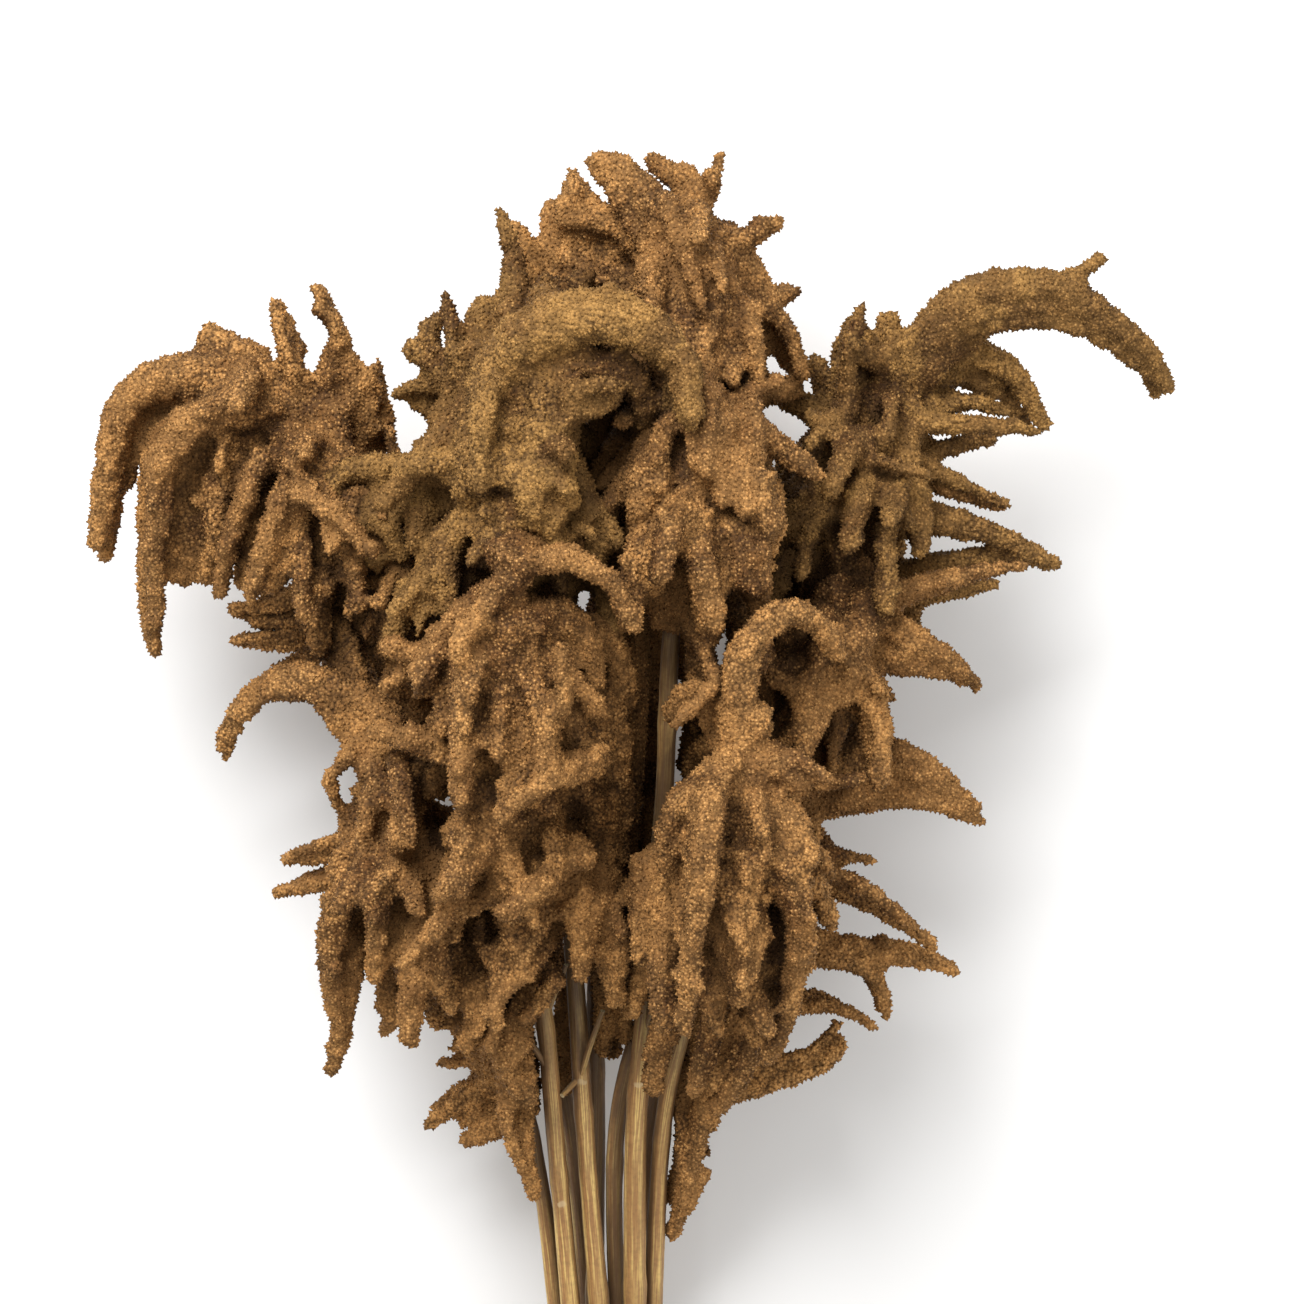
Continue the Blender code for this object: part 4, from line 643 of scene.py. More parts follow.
def husk_tree(husk):
    """Geometry nodes: swell the skin into flower clusters and cover it in husks."""
    tree, given, result = new_tree("husk cover", (
        ("Cluster Size", "NodeSocketFloat", CLUSTER_SIZE * MM),
        ("Cluster Height", "NodeSocketFloat", CLUSTER_HEIGHT * MM),
        ("Husk Spacing", "NodeSocketFloat", HUSK_SPACING * MM),
        ("Husk Size", "NodeSocketFloat", HUSK_SIZE * MM),
        ("Rest Height", "NodeSocketFloat", REST_HEIGHT * MM),
        ("Seed", "NodeSocketInt", 0),
        ("Material", "NodeSocketMaterial", None)))
    place, seed = position(tree), given.outputs["Seed"]
    cells = add_node(tree, "ShaderNodeTexVoronoi", {
        "Vector": place, "Scale": calculate(tree, "DIVIDE", 1.0, given.outputs["Cluster Size"]),
        "Smoothness": 0.25}, feature="SMOOTH_F1").outputs["Distance"]
    rise = calculate(tree, "MULTIPLY", calculate(tree, "SUBTRACT", 0.42, cells),
                     given.outputs["Cluster Height"])
    skin = shifted(tree, given.outputs["Geometry"], vector(tree, "SCALE", outward(tree), rise))
    lowest = output(add_node(tree, "ShaderNodeCombineXYZ", {
        0: -1.0, 1: -1.0, 2: given.outputs["Rest Height"]}))
    skin = shifted(tree, skin, vector(tree, "MAXIMUM", place, lowest), "Position")
    # The height of each cluster, by which the head material paints shade in the valleys between
    # them
    skin = store(tree, skin, "rise", ramped(tree, cells, 0.65, 0.15, "LINEAR"))
    points = add_node(tree, "GeometryNodeDistributePointsOnFaces", {
        "Mesh": skin, "Distance Min": given.outputs["Husk Spacing"], "Density Max": 2.0e6,
        "Density Factor": calculate(tree, "GREATER_THAN", kept(tree, "open"), HUSK_SKY),
        "Seed": seed}, distribute_method="POISSON")
    lean = vector(tree, "ADD", points.outputs["Normal"], random_value(
        tree, (-0.40,) * 3, (0.40,) * 3, seed, "FLOAT_VECTOR"))
    turned = add_node(tree, "FunctionNodeEulerToRotation", {
        "Euler": random_value(tree, (0.0,) * 3, (math.tau,) * 3, seed, "FLOAT_VECTOR")})
    upright = add_node(tree, "FunctionNodeAlignRotationToVector", {
        "Rotation": output(turned), "Vector": lean}, axis="Z")
    size = calculate(tree, "MULTIPLY", random_value(tree, 0.72, 1.25, seed),
                     given.outputs["Husk Size"])
    shape = add_node(tree, "GeometryNodeObjectInfo", {"Object": husk}).outputs["Geometry"]
    husks = output(add_node(tree, "GeometryNodeInstanceOnPoints", {
        "Points": points.outputs["Points"], "Instance": shape, "Rotation": output(upright),
        "Scale": size}))
    husks = store(tree, husks, "tint", random_value(tree, 0.0, 1.0, seed), "INSTANCE")
    husks = output(add_node(tree, "GeometryNodeRealizeInstances", {"Geometry": husks}))
    both = add_node(tree, "GeometryNodeJoinGeometry")
    tree.links.new(husks, both.inputs[0])
    tree.links.new(store(tree, skin, "tint", 0.4), both.inputs[0])
    return close_tree(tree, given, result, output(both))


def stalk_tree():
    """Geometry nodes: skin a line with a ribbed round bark, and mark its scars and cut ends."""
    tree, given, result = new_tree("ribbed stalk", (
        ("Sides", "NodeSocketInt", STALK_SIDES),
        ("Ribs", "NodeSocketInt", 7),
        ("Rib Depth", "NodeSocketFloat", 0.045),
        ("Unevenness", "NodeSocketFloat", 0.35 * MM),
        ("Material", "NodeSocketMaterial", None)))
    line = output(add_node(tree, "GeometryNodeMeshToCurve", {"Mesh": given.outputs["Geometry"]}))
    way = add_node(tree, "GeometryNodeSplineParameter")
    line = store(tree, line, "lengthwise", way.outputs["Length"])
    turn = calculate(tree, "MULTIPLY", way.outputs["Factor"], math.tau)
    wave = calculate(tree, "COSINE", calculate(tree, "MULTIPLY", turn, given.outputs["Ribs"]))
    size = calculate(tree, "ADD", calculate(
        tree, "MULTIPLY", wave, given.outputs["Rib Depth"]), 1.0)
    circle = profile(tree, given.outputs["Sides"], 1.0)
    circle = shifted(tree, circle, vector(tree, "SCALE", position(tree), size), "Position")
    bark = output(add_node(tree, "GeometryNodeCurveToMesh", {
        "Curve": line, "Profile Curve": circle, "Fill Caps": True,
        "Scale": calculate(tree, "MULTIPLY", kept(tree, "thickness"), 0.5)}))
    normal = outward(tree)
    bumps = output(add_node(tree, "ShaderNodeTexNoise", {
        "Vector": position(tree), "Scale": 130.0, "Detail": 2.0}))
    rise = calculate(tree, "MULTIPLY", calculate(tree, "SUBTRACT", bumps, 0.5),
                     given.outputs["Unevenness"])
    bark = shifted(tree, bark, vector(tree, "SCALE", normal, rise))
    up = add_node(tree, "ShaderNodeSeparateXYZ", {0: normal}).outputs["Z"]
    bark = store(tree, bark, "scar", calculate(
        tree, "MULTIPLY", kept(tree, "joint"), ramped(tree, up, 0.55, 0.9, "LINEAR")))
    corners = add_node(tree, "GeometryNodeInputMeshFaceNeighbors").outputs["Vertex Count"]
    bark = store(tree, bark, "cut", calculate(tree, "GREATER_THAN", corners, 4.5), "FACE")
    return close_tree(tree, given, result, bark, calculate(tree, "LESS_THAN", corners, 4.5))


def twine_tree(plies=3):
    """Geometry nodes: lay plies round a line and twist them into twine."""
    tree, given, result = new_tree("twisted twine", (
        ("Twine Radius", "NodeSocketFloat", 0.5 * TWINE_THICK * MM),
        ("Twist Length", "NodeSocketFloat", 6.5 * MM),
        ("Step", "NodeSocketFloat", 0.8 * MM),
        ("Sides", "NodeSocketInt", 7),
        ("Material", "NodeSocketMaterial", None)))
    line = output(add_node(tree, "GeometryNodeMeshToCurve", {"Mesh": given.outputs["Geometry"]}))
    line = output(add_node(tree, "GeometryNodeResampleCurve", {
        "Curve": line, "Length": given.outputs["Step"]}, mode="LENGTH"))
    length = add_node(tree, "GeometryNodeSplineParameter").outputs["Length"]
    line = store(tree, line, "lengthwise", length)
    ply = calculate(tree, "MULTIPLY", given.outputs["Twine Radius"], 1 / (1 + 2 / math.sqrt(3)))
    reach = calculate(tree, "MULTIPLY", ply, 2 / math.sqrt(3))
    normal = outward(tree)
    ahead = output(add_node(tree, "GeometryNodeInputTangent"))
    across = vector(tree, "CROSS_PRODUCT", ahead, normal)
    turn = calculate(tree, "MULTIPLY", calculate(
        tree, "DIVIDE", length, given.outputs["Twist Length"]), math.tau)
    circle = profile(tree, given.outputs["Sides"], ply)
    every = add_node(tree, "GeometryNodeJoinGeometry")
    for number in range(plies):
        angle = calculate(tree, "ADD", turn, math.tau * number / plies)
        offset = vector(tree, "ADD", *(
            vector(tree, "SCALE", side, calculate(
                tree, "MULTIPLY", calculate(tree, wave, angle), reach))
            for side, wave in ((normal, "COSINE"), (across, "SINE"))))
        tube = add_node(tree, "GeometryNodeCurveToMesh", {
            "Curve": shifted(tree, line, offset), "Profile Curve": circle, "Fill Caps": True})
        tree.links.new(output(tube), every.inputs[0])
    return close_tree(tree, given, result, output(every))


# Materials

def new_group(name, inputs, outputs):
    """A shader node group with its named inputs (name, type, value) and outputs (name, type)."""
    tree = bpy.data.node_groups.new(name, "ShaderNodeTree")
    for label, kind, value in inputs:
        tree.interface.new_socket(label, in_out="INPUT", socket_type=kind).default_value = value
    for label, kind in outputs:
        tree.interface.new_socket(label, in_out="OUTPUT", socket_type=kind)
    return tree, tree.nodes.new("NodeGroupInput"), tree.nodes.new("NodeGroupOutput")


def mixed(tree, share, low, high):
    """The result of a colour Mix node."""
    node = add_node(tree, "ShaderNodeMix", {0: share}, data_type="RGBA")
    for socket, value in ((node.inputs[6], low), (node.inputs[7], high)):
        if isinstance(value, bpy.types.NodeSocket):
            tree.links.new(value, socket)
        else:
            socket.default_value = (*value, 1.0)
    return output(node)


def toned(tree, colour, mask, share, other):
    """The colour, turned by a share towards another one where the mask says."""
    return mixed(tree, calculate(tree, "MULTIPLY", mask, share), colour, other)


def noise(tree, place, scale, detail=3.0):
    """A noise value from 0 to 1."""
    return output(add_node(tree, "ShaderNodeTexNoise", {
        "Vector": place, "Scale": scale, "Detail": detail}))


def attribute(tree, name):
    """The value of a named attribute of the mesh."""
    return add_node(tree, "ShaderNodeAttribute", attribute_name=name).outputs["Fac"]


def object_place(tree):
    """Each point's place on the finished piece."""
    return add_node(tree, "ShaderNodeTexCoord").outputs["Object"]


def drying_group():
    """Shader group: uneven drying, as large soft patches and fine specks of a second colour."""
    tree, given, result = new_group("uneven drying", (
        ("Colour", "NodeSocketColor", (0.5, 0.5, 0.5, 1.0)),
        ("Patch Colour", "NodeSocketColor", (0.5, 0.5, 0.5, 1.0)),
        ("Patch Size", "NodeSocketFloat", 0.04),
        ("Patches", "NodeSocketFloat", 0.5),
        ("Speck Size", "NodeSocketFloat", 0.001),
        ("Specks", "NodeSocketFloat", 0.3)),
        (("Colour", "NodeSocketColor"), ("Speck", "NodeSocketFloat")))
    place = object_place(tree)
    broad, fine = (noise(tree, place, calculate(tree, "DIVIDE", 1.0, given.outputs[size]), 2.0)
                   for size in ("Patch Size", "Speck Size"))
    colour = toned(tree, given.outputs["Colour"], ramped(tree, broad, 0.4, 0.62),
                   given.outputs["Patches"], given.outputs["Patch Colour"])
    colour = toned(tree, colour, ramped(tree, fine, 0.56, 0.36), given.outputs["Specks"],
                   (0.0, 0.0, 0.0))
    tree.links.new(colour, result.inputs["Colour"])
    tree.links.new(fine, result.inputs["Speck"])
    return tree


def bead_group():
    """Shader group: crowded round grains, as masks of their middles and of the gaps between; the
    heads paint a highlight on the middles and shade in the gaps.
    """
    tree, given, result = new_group("crowded grains", (
        ("Grain Size", "NodeSocketFloat", GRAIN_SIZE * MM),),
        (("Middle", "NodeSocketFloat"), ("Gap", "NodeSocketFloat"), ("Each", "NodeSocketFloat")))
    cells = add_node(tree, "ShaderNodeTexVoronoi", {
        "Vector": object_place(tree),
        "Scale": calculate(tree, "DIVIDE", 1.0, given.outputs["Grain Size"])})
    near = cells.outputs["Distance"]
    each = add_node(tree, "ShaderNodeSeparateColor", {0: cells.outputs["Color"]}).outputs[0]
    tree.links.new(ramped(tree, near, 0.55, 0.10), result.inputs["Middle"])
    tree.links.new(ramped(tree, near, 0.42, 0.80), result.inputs["Gap"])
    tree.links.new(each, result.inputs["Each"])
    return tree


def grain_group():
    """Shader group: long streaks that follow a stalk or a ply, read from its attributes."""
    tree, given, result = new_group("lengthwise grain", (
        ("Fineness", "NodeSocketFloat", 3.0),
        ("Streak Length", "NodeSocketFloat", 0.03)),
        (("Streak", "NodeSocketFloat"), ("Fibre", "NodeSocketFloat")))
    side = add_node(tree, "ShaderNodeAttribute", attribute_name="side").outputs["Vector"]
    facing = output(add_node(tree, "ShaderNodeVectorMath", {0: side}, operation="NORMALIZE"))
    length = calculate(tree, "DIVIDE", attribute(tree, "lengthwise"),
                       given.outputs["Streak Length"])
    drawn = vector(tree, "ADD", vector(tree, "SCALE", facing, given.outputs["Fineness"]),
                   output(add_node(tree, "ShaderNodeCombineXYZ", {"Z": length})))
    tree.links.new(noise(tree, drawn, 1.0, 3.0), result.inputs["Streak"])
    tree.links.new(noise(tree, drawn, 4.0, 2.0), result.inputs["Fibre"])
    return tree


def new_material(name, roughness):
    """A material with its node tree and its Principled shader."""
    material = bpy.data.materials.new(name)
    material.use_nodes = True
    shader = material.node_tree.nodes["Principled BSDF"]
    shader.inputs["Roughness"].default_value = roughness
    return material, material.node_tree, shader


def dried(tree, drying, colour, patch, patch_size, patches, speck_size, specks):
    """The group of uneven drying, with a material's own values."""
    return add_node(tree, "ShaderNodeGroup", {
        "Colour": colour, "Patch Colour": (*patch, 1.0), "Patch Size": patch_size,
        "Patches": patches, "Speck Size": speck_size, "Specks": specks}, node_tree=drying)


def finish_shader(tree, shader, colour, height, distance, strength):
    """Give the shader its colour and its fine relief."""
    tree.links.new(colour, shader.inputs["Base Color"])
    bump = add_node(tree, "ShaderNodeBump", {
        "Height": height, "Distance": distance, "Strength": strength})
    tree.links.new(output(bump), shader.inputs["Normal"])


def head_material(name, drying, beads, cleft, body, tip, patch):
    """Dry grains: painted shade in the clefts, between grains and between clusters, a painted
    highlight on their tops and where they see open air, each tail and grain a little apart.
    """
    material, tree, shader = new_material(name, 0.75)
    shader.inputs["Specular IOR Level"].default_value = 0.12
    tint, tone, rise, sky = (attribute(tree, key) for key in ("tint", "tone", "rise", "open"))
    grain = add_node(tree, "ShaderNodeGroup", node_tree=beads)
    middle, gap, each = (grain.outputs[key] for key in ("Middle", "Gap", "Each"))
    colour = mixed(tree, ramped(tree, tone, 0.1, 1.1), body, patch)
    # Painted highlight: the middles of the grains, some more than others, turned towards the lit
    # tip colour
    light = calculate(tree, "MULTIPLY", middle, ramped(tree, each, 0.25, 0.85))
    colour = toned(tree, colour, light, 0.85, tip)
    # Towards the cleft colour: darker husks at random, and painted shade in the gaps between
    # grains, in the valleys between clusters and where little open air is seen
    for mask, share in ((ramped(tree, tint, 0.35, 0.0), 0.5), (gap, 0.8),
                        (ramped(tree, rise, 0.6, 0.0), 0.5),
                        (ramped(tree, sky, 0.60, 0.08), 0.86)):
        colour = toned(tree, colour, mask, share, cleft)
    # Painted highlight: lighter where a point sees much open air, most on the grains' middles
    highlight_share = calculate(tree, "ADD", calculate(tree, "MULTIPLY", middle, 0.22), 0.06)
    colour = toned(tree, colour, ramped(tree, sky, 0.66, 1.0), highlight_share, tip)
    dry = dried(tree, drying, colour, patch, 0.03, 0.25, 0.0011, 0.25)
    finish_shader(tree, shader, dry.outputs["Colour"], middle, 0.0005, 0.7)
    return material


def stalk_material(name, drying, grain):
    """Dry stalk: tan with reddish and olive streaks, pale scars, a pale pithy cut, and painted
    shade where it sees little open air.
    """
    material, tree, shader = new_material(name, 0.55)
    streaks = add_node(tree, "ShaderNodeGroup", {
        "Fineness": 1.6, "Streak Length": 0.06}, node_tree=grain)
    fibre = streaks.outputs["Fibre"]
    colour = mixed(tree, ramped(tree, streaks.outputs["Streak"], 0.38, 0.62), *STALK_TANS)
    colour = toned(tree, colour, ramped(tree, fibre, 0.60, 0.42), 0.55, STALK_RED)
    dry = dried(tree, drying, colour, STALK_PATCH, 0.05, 0.6, 0.0016, 0.15)
    scar = calculate(tree, "MULTIPLY", attribute(tree, "scar"), calculate(
        tree, "ADD", dry.outputs["Speck"], 0.5))
    colour = toned(tree, dry.outputs["Colour"], ramped(tree, scar, 0.66, 0.92), 0.5, SCAR_COLOUR)
    # Painted shade: darker where the stalk sees little open air past the other stalks and the
    # heads
    colour = toned(tree, colour, ramped(tree, attribute(tree, "open"), 0.85, 0.30), 0.85,
                   STALK_SHADE)
    colour = mixed(tree, attribute(tree, "cut"), colour, PITH_COLOUR)
    finish_shader(tree, shader, colour, fibre, 0.0005, 0.7)
    return material


def twine_material(name, drying, grain):
    """Natural twine: straw-coloured fibres with darker ones between them."""
    material, tree, shader = new_material(name, 0.85)
    streaks = add_node(tree, "ShaderNodeGroup", {
        "Fineness": 2.2, "Streak Length": 0.004}, node_tree=grain)
    colour = mixed(tree, ramped(tree, streaks.outputs["Streak"], 0.34, 0.64), *TWINE_STRAWS)
    dry = dried(tree, drying, colour, TWINE_PATCH, 0.02, 0.5, 0.0005, 0.25)
    finish_shader(tree, shader, dry.outputs["Colour"], streaks.outputs["Fibre"], 0.0003, 0.8)
    return material


# Seed heads

def short_tails(stem, rachis, silhouette):
    """Short tails all round the core that lean out and droop, kept within the outline."""
    tails = []
    length = arc_lengths(rachis)[-1]
    for _ in range(stem["short"] * 4):
        if len(tails) == stem["short"]:
            break
        start = point_at(rachis, [random.uniform(0.04, 0.97) * length])[0]
        angle = random.uniform(0.0, math.tau)
        side = np.array([math.cos(angle), random.uniform(-0.3, 0.3), math.sin(angle)])
        out = 0.5 * stem["core"] + random.uniform(3.0, 12.0)
        droop = random.uniform(10.0, 26.0)
        bend = start + side * out * 0.8 + (0.0, 3.0, 0.0)
        tip = start + side * out - (0.0, droop, 0.0)
        root_thick, tip_thick = random.uniform(9.0, 13.0), random.uniform(5.0, 7.5)
        if tip[2] > 10.0 and inside(silhouette, tip, tip_thick) and inside(
                silhouette, bend, root_thick):
            tails.append((root_thick, tip_thick, smooth_route([start, bend, tip], 3.0)))
    return tails


def inside(silhouette, point, thick):
    """Whether the bunch, seen from above, already covers a round spot about this place."""
    for turn in range(4):
        angle = math.tau * turn / 4
        above = Vector(((point[0] + 0.6 * thick * math.cos(angle)) * MM,
                        (point[1] + 0.6 * thick * math.sin(angle)) * MM, 1.0))
        if not any(tree.ray_cast(above, Vector((0.0, 0.0, -1.0)))[0] for tree in silhouette):
            return False
    return True


def surface_points(obj, area_each):
    """Random points on a mesh, one to so many square millimetres: place and normal, in mm."""
    data = obj.data
    faces = list(data.polygons)
    areas = np.cumsum([face.area for face in faces]) / MM ** 2
    found = []
    for _ in range(int(areas[-1] / area_each)):
        face = faces[int(np.searchsorted(areas, random.uniform(0.0, areas[-1])))]
        corners = [np.array(data.vertices[i].co) / MM for i in face.vertices[:3]]
        one, two = sorted((random.random(), random.random()))
        spot = one * corners[0] + (two - one) * corners[1] + (1.0 - two) * corners[2]
        found.append((spot, np.array(face.normal)))
    return found


def draped_spikes(node, stem, rachis, traced, silhouette):
    """Spikes that spring from all over a head, arch out and hang; short lobes on thin tails."""
    tails, roots = [], []
    lowest, highest = SPIKE_HEIGHTS
    for spot, normal in surface_points(node, SPIKE_AREA):
        if any(np.linalg.norm(spot - other) < SPIKE_APART for other in roots):
            continue
        out = spot - rachis[np.argmin(np.linalg.norm(rachis - spot, axis=1))]
        away = np.linalg.norm(out)
        long = (away < 0.5 * stem["core"] + SPIKE_NEAR
                and np.linalg.norm(traced - spot, axis=1).min() > TRACED_CLEAR)
        kind = LONG_SPIKE if long else SHORT_SPIKE
        thick, length = (random.uniform(*kind[size]) for size in ("thick", "length"))
        flow = 0.9 * out / away + [random.uniform(-0.45, 0.45) for _ in range(3)]
        flow[1] -= kind["hang"]
        flow -= 0.9 * normal * np.dot(flow, normal)
        flow /= max(1e-6, np.linalg.norm(flow))
        root = spot - 0.35 * thick * normal - 0.35 * length * flow
        bend = spot + random.uniform(0.2, 0.45) * kind["rise"] * thick * normal
        for share in (1.0, 0.6):
            tip = bend + share * 0.65 * length * flow + random.uniform(-0.2, 0.3) * thick * normal
            tip[1] -= share * 0.12 * length
            fits = lowest < tip[2] < highest and inside(silhouette, tip, kind["within"] * thick)
            if fits and (not long or inside(silhouette, bend, thick)):
                tails.append((thick, kind["tip"] * thick, smooth_route([root, bend, tip], 2.5)))
                roots.append(spot)
                break
    return tails


def make_skin(name, stem, silhouette):
    """A seed head's outer skin: the solid's form, more tails and lobes, fused on a fine grid."""
    _, rachis = stem_routes(stem)
    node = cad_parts["head_" + name]
    mesh = bmesh.new()
    mesh.from_mesh(node.data)
    bmesh.ops.remove_doubles(mesh, verts=mesh.verts, dist=1e-6)
    traced = []
    for root, tip, route, *tone in stem["more"]:
        route = as_seen(route)
        start = rachis[np.argmin(np.linalg.norm(rachis - route[0], axis=1))]
        traced.append((root, tip, smooth_route([start, *route], 3.0),
                       tone[0] if tone else random.uniform(*TRACED_TONES)))
    near = np.vstack([path for _, _, path, _ in traced])
    others = short_tails(stem, rachis, silhouette)
    others += draped_spikes(node, stem, rachis, near, silhouette)
    tails = traced + [(*tail, random.uniform(*OTHER_TONES)) for tail in others]
    for root, tip, path, _ in tails:
        add_tail(mesh, path, root, tip)
    bmesh.ops.recalc_face_normals(mesh, faces=mesh.faces)
    data = bpy.data.meshes.new("seed_head_" + name)
    mesh.to_mesh(data)
    mesh.free()
    skin = link("seed_head_" + name, data)
    remesh = skin.modifiers.new("skin", "REMESH")
    remesh.mode = "VOXEL"
    remesh.voxel_size = SKIN_VOXEL * MM
    skin = finished(skin)
    give_tones(skin, tails)
    return skin


def give_tones(skin, tails):
    """Every tail dried to a tone of its own, lighter at its tip, kept on the skin's points."""
    places = []
    for _, _, path, tone in tails:
        lighter = TIP_LIGHTER * np.linspace(0.0, 1.0, len(path)) ** 2
        places += [(point, tone + more) for point, more in zip(path, lighter)]
    tree = KDTree(len(places))
    for index, (point, _) in enumerate(places):
        tree.insert(point * MM, index)
    tree.balance()
    tones = [places[tree.find(vertex.co)[1]][1] for vertex in skin.data.vertices]
    skin.data.attributes.new("tone", "FLOAT", "POINT").data.foreach_set("value", tones)


def joined_copy(name, objects):
    """One object with the meshes of several."""
    mesh = bmesh.new()
    for obj in objects:
        mesh.from_mesh(obj.data)
    data = bpy.data.meshes.new(name)
    mesh.to_mesh(data)
    mesh.free()
    return link(name, data)


def dress_head(name, skin, air, cover, material):
    """Cover a seed head's skin in husks."""
    use_tree(skin, air)
    use_tree(skin, cover, Seed=SEED + list(STEMS).index(name), Material=material)
    head = finished(skin)
    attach(head, "root")
    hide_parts("head_" + name)
    return head


# Stalks and twine

def line_object(name, lines):
    """Loose lines as one object: each is its path, thickness and joint marks (0 to 1)."""
    points, edges, thickness, joints = [], [], [], []
    for path, thick, joint in lines:
        first = len(points)
        points += [tuple(point * MM) for point in path]
        edges += [(first + i, first + i + 1) for i in range(len(path) - 1)]
        thickness += list(np.broadcast_to(thick, len(path)) * MM)
        joints += list(np.broadcast_to(joint, len(path)))
    data = bpy.data.meshes.new(name)
    data.from_pydata(points, edges, [])
    for label, values in (("thickness", thickness), ("joint", joints)):
        data.attributes.new(label, "FLOAT", "POINT").data.foreach_set("value", values)
    return link(name, data)


def make_stalk(name, stem, tree, material):
    """A bare stalk with its swollen old leaf joints and its broken side shoots."""
    route, _ = stem_routes(stem)
    length = arc_lengths(route)[-1]
    path = resample(point_at(route, np.linspace(0.0, length - PIECE_GAP, len(route))), STALK_STEP)
    along = arc_lengths(path)
    bottom, top = stem["thick"]
    thick = bottom + (top - bottom) * along / length
    marks = np.cumsum([random.uniform(*JOINT_SPACING) for _ in range(10)]) - 20.0
    joint = np.exp(-((along[:, None] - marks) / JOINT_LENGTH) ** 2).max(axis=1)
    scars = [along[np.argmin(abs(path[:, 1] - ORIGIN[1] - y))] for y in stem.get("scars", [])]
    scars.append(random.choice(marks[:4]))
    scar = np.exp(-((along[:, None] - scars) / SCAR_LENGTH) ** 2).max(axis=1)
    wander = 1.0 + 0.03 * np.sin(along / 17.0 + random.uniform(0.0, 6.0))
    lines = [(path, thick * wander * (1.0 + 0.10 * joint), scar)]
    for twig in stem.get("twigs", []):
        twig = smooth_route(np.array(twig) + ORIGIN, 0.5 * STALK_STEP)
        lines.append((twig, TWIG_THICK * np.linspace(1.0, 0.7, len(twig)), 0.0))
    stalk = line_object("stalk_" + name + "_bark", lines)
    use_tree(stalk, tree, Material=material)
    return finished(stalk)


def shade_stalk(name, stalk, air):
    """Keep on a stalk how much open air it sees, and let it stand for its solid."""
    use_tree(stalk, air)
    stalk = finished(stalk)
    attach(stalk, "root")
    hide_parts("stalk_" + name)
    return stalk


def make_tie(tree, material):
    """Four turns of twine, pulled tight over the outermost stalks, square to the bundle."""
    stalks = []
    for stem in STEMS.values():
        column, row = stem["place"]
        stalks.append((np.array([column * STALK_PITCH / 2, row * STALK_ROW]),
                       0.5 * stem["thick"][0] * TIE_ROOM))
    slope = math.atan2(bundle_height(TIE_Y + 12) - bundle_height(TIE_Y - 12), 24.0)
    pitch = TWINE_THICK * 1.04
    offset = TWINE_GAP + 0.5 * TWINE_THICK
    path = []
    for angle in np.linspace(0.0, math.tau * TWINE_TURNS, 48 * TWINE_TURNS + 1):
        way = np.array([-math.sin(angle), math.cos(angle)])
        centre, radius = max(stalks, key=lambda stalk: np.dot(stalk[0], way) + stalk[1])
        across, up = centre + (radius + offset) * way
        along = pitch * (angle / math.tau - 0.5 * TWINE_TURNS)
        path.append((BUNDLE_X + across,
                     TIE_Y + along * math.cos(slope) - up * math.sin(slope),
                     bundle_height(TIE_Y) + along * math.sin(slope) + up * math.cos(slope)))
    knot = (np.array(path[0]) + np.array(path[-1])) / 2 + (0.0, 0.0, 0.9 * TWINE_THICK)
    coil = [knot + (KNOT_SIZE * (0.25 * turn / math.pi - 0.5), 0.42 * KNOT_SIZE * math.sin(turn),
                    0.30 * KNOT_SIZE * math.cos(turn)) for turn in np.linspace(0, 4 * math.pi, 25)]
    ends = [np.array([(side * x, y, z) for x, y, z in TWINE_END]) + knot for side in (-1, 1)]
    lines = [resample(np.array(path), 1.5), resample(np.array(coil), 0.8)]
    lines += [smooth_route(end, 1.5) for end in ends]
    tie = line_object("wound_twine", [(line + ORIGIN, TWINE_THICK, 0.0) for line in lines])
    use_tree(tie, tree, Material=material)
    tie = finished(tie)
    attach(tie, "root")
    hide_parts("tie")
    return tie


# Stage

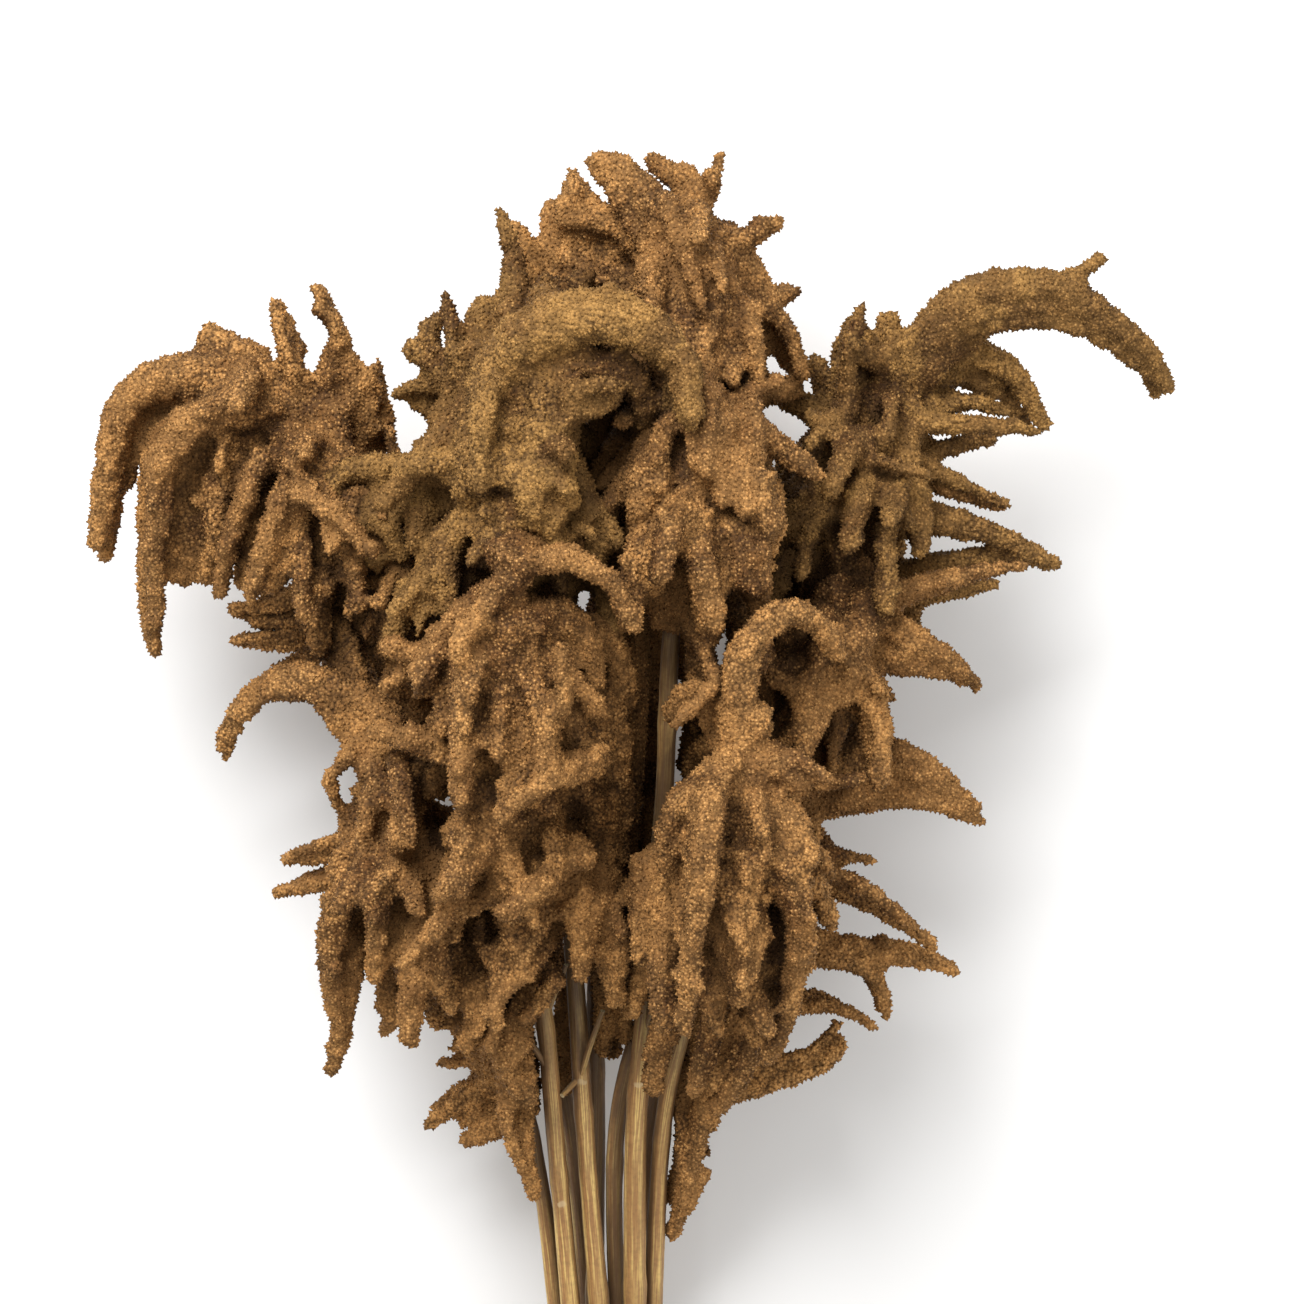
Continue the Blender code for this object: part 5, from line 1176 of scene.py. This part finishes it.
def make_stage():
    """A pale floor, a bright soft surrounding and the camera straight above."""
    mesh = bmesh.new()
    bmesh.ops.create_grid(mesh, x_segments=1, y_segments=1, size=4.0)
    data = bpy.data.meshes.new("floor")
    mesh.to_mesh(data)
    mesh.free()
    floor = link("floor", data)
    material, _, shader = new_material("pale floor", 0.9)
    shader.inputs["Base Color"].default_value = FLOOR_COLOUR
    data.materials.append(material)

    world = bpy.data.worlds.new("studio")
    bpy.context.scene.world = world
    world.use_nodes = True
    background = world.node_tree.nodes["Background"]
    background.inputs["Color"].default_value = SKY_COLOUR
    background.inputs["Strength"].default_value = SKY_STRENGTH
    for label, (place, size, power) in LAMPS.items():
        light = bpy.data.lights.new(label, "AREA")
        light.size = size
        light.energy = power
        lamp = link(label, light)
        lamp.location = place
        lamp.rotation_euler = (Vector(LAMP_AIM) - Vector(place)).to_track_quat(
            "-Z", "Y").to_euler()

    camera = bpy.data.cameras.new("camera")
    camera.sensor_width = 36.0
    camera.lens = 0.5 * camera.sensor_width * (EYE[2] - EYE_PLANE) / EYE_HALF_VIEW
    camera.clip_end = 10.0
    eye = link("camera", camera)
    eye.location = EYE
    bpy.context.scene.camera = eye
    bpy.context.scene.view_settings.view_transform = "Standard"


def main():
    random.seed(SEED)
    make_stage()
    drying, grain, beads = drying_group(), grain_group(), bead_group()
    brown, golden = (head_material(name, drying, beads, *colours)
                     for name, colours in HEAD_COLOURS.items())
    bark = stalk_material("dry ribbed stalk", drying, grain)
    jute = twine_material("natural twine", drying, grain)
    stalk_form = stalk_tree()
    heads = [obj for name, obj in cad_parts.items() if name.startswith("head_")]
    silhouette = [BVHTree.FromPolygons([v.co for v in obj.data.vertices],
                                       [p.vertices for p in obj.data.polygons]) for obj in heads]
    stalks = {name: make_stalk(name, stem, stalk_form, bark) for name, stem in STEMS.items()}
    skins = {name: make_skin(name, stem, silhouette) for name, stem in STEMS.items()}
    mass = joined_copy("mass", [*stalks.values(), *skins.values()])
    air = air_tree(mass)
    for name, stalk in stalks.items():
        shade_stalk(name, stalk, air)
    husk = husk_object()
    cover = husk_tree(husk)
    for name, skin in skins.items():
        dress_head(name, skin, air, cover, golden if name in GOLDEN_HEADS else brown)
    bpy.data.objects.remove(mass, do_unlink=True)
    bpy.data.objects.remove(husk, do_unlink=True)
    make_tie(twine_tree(), jute)


main()
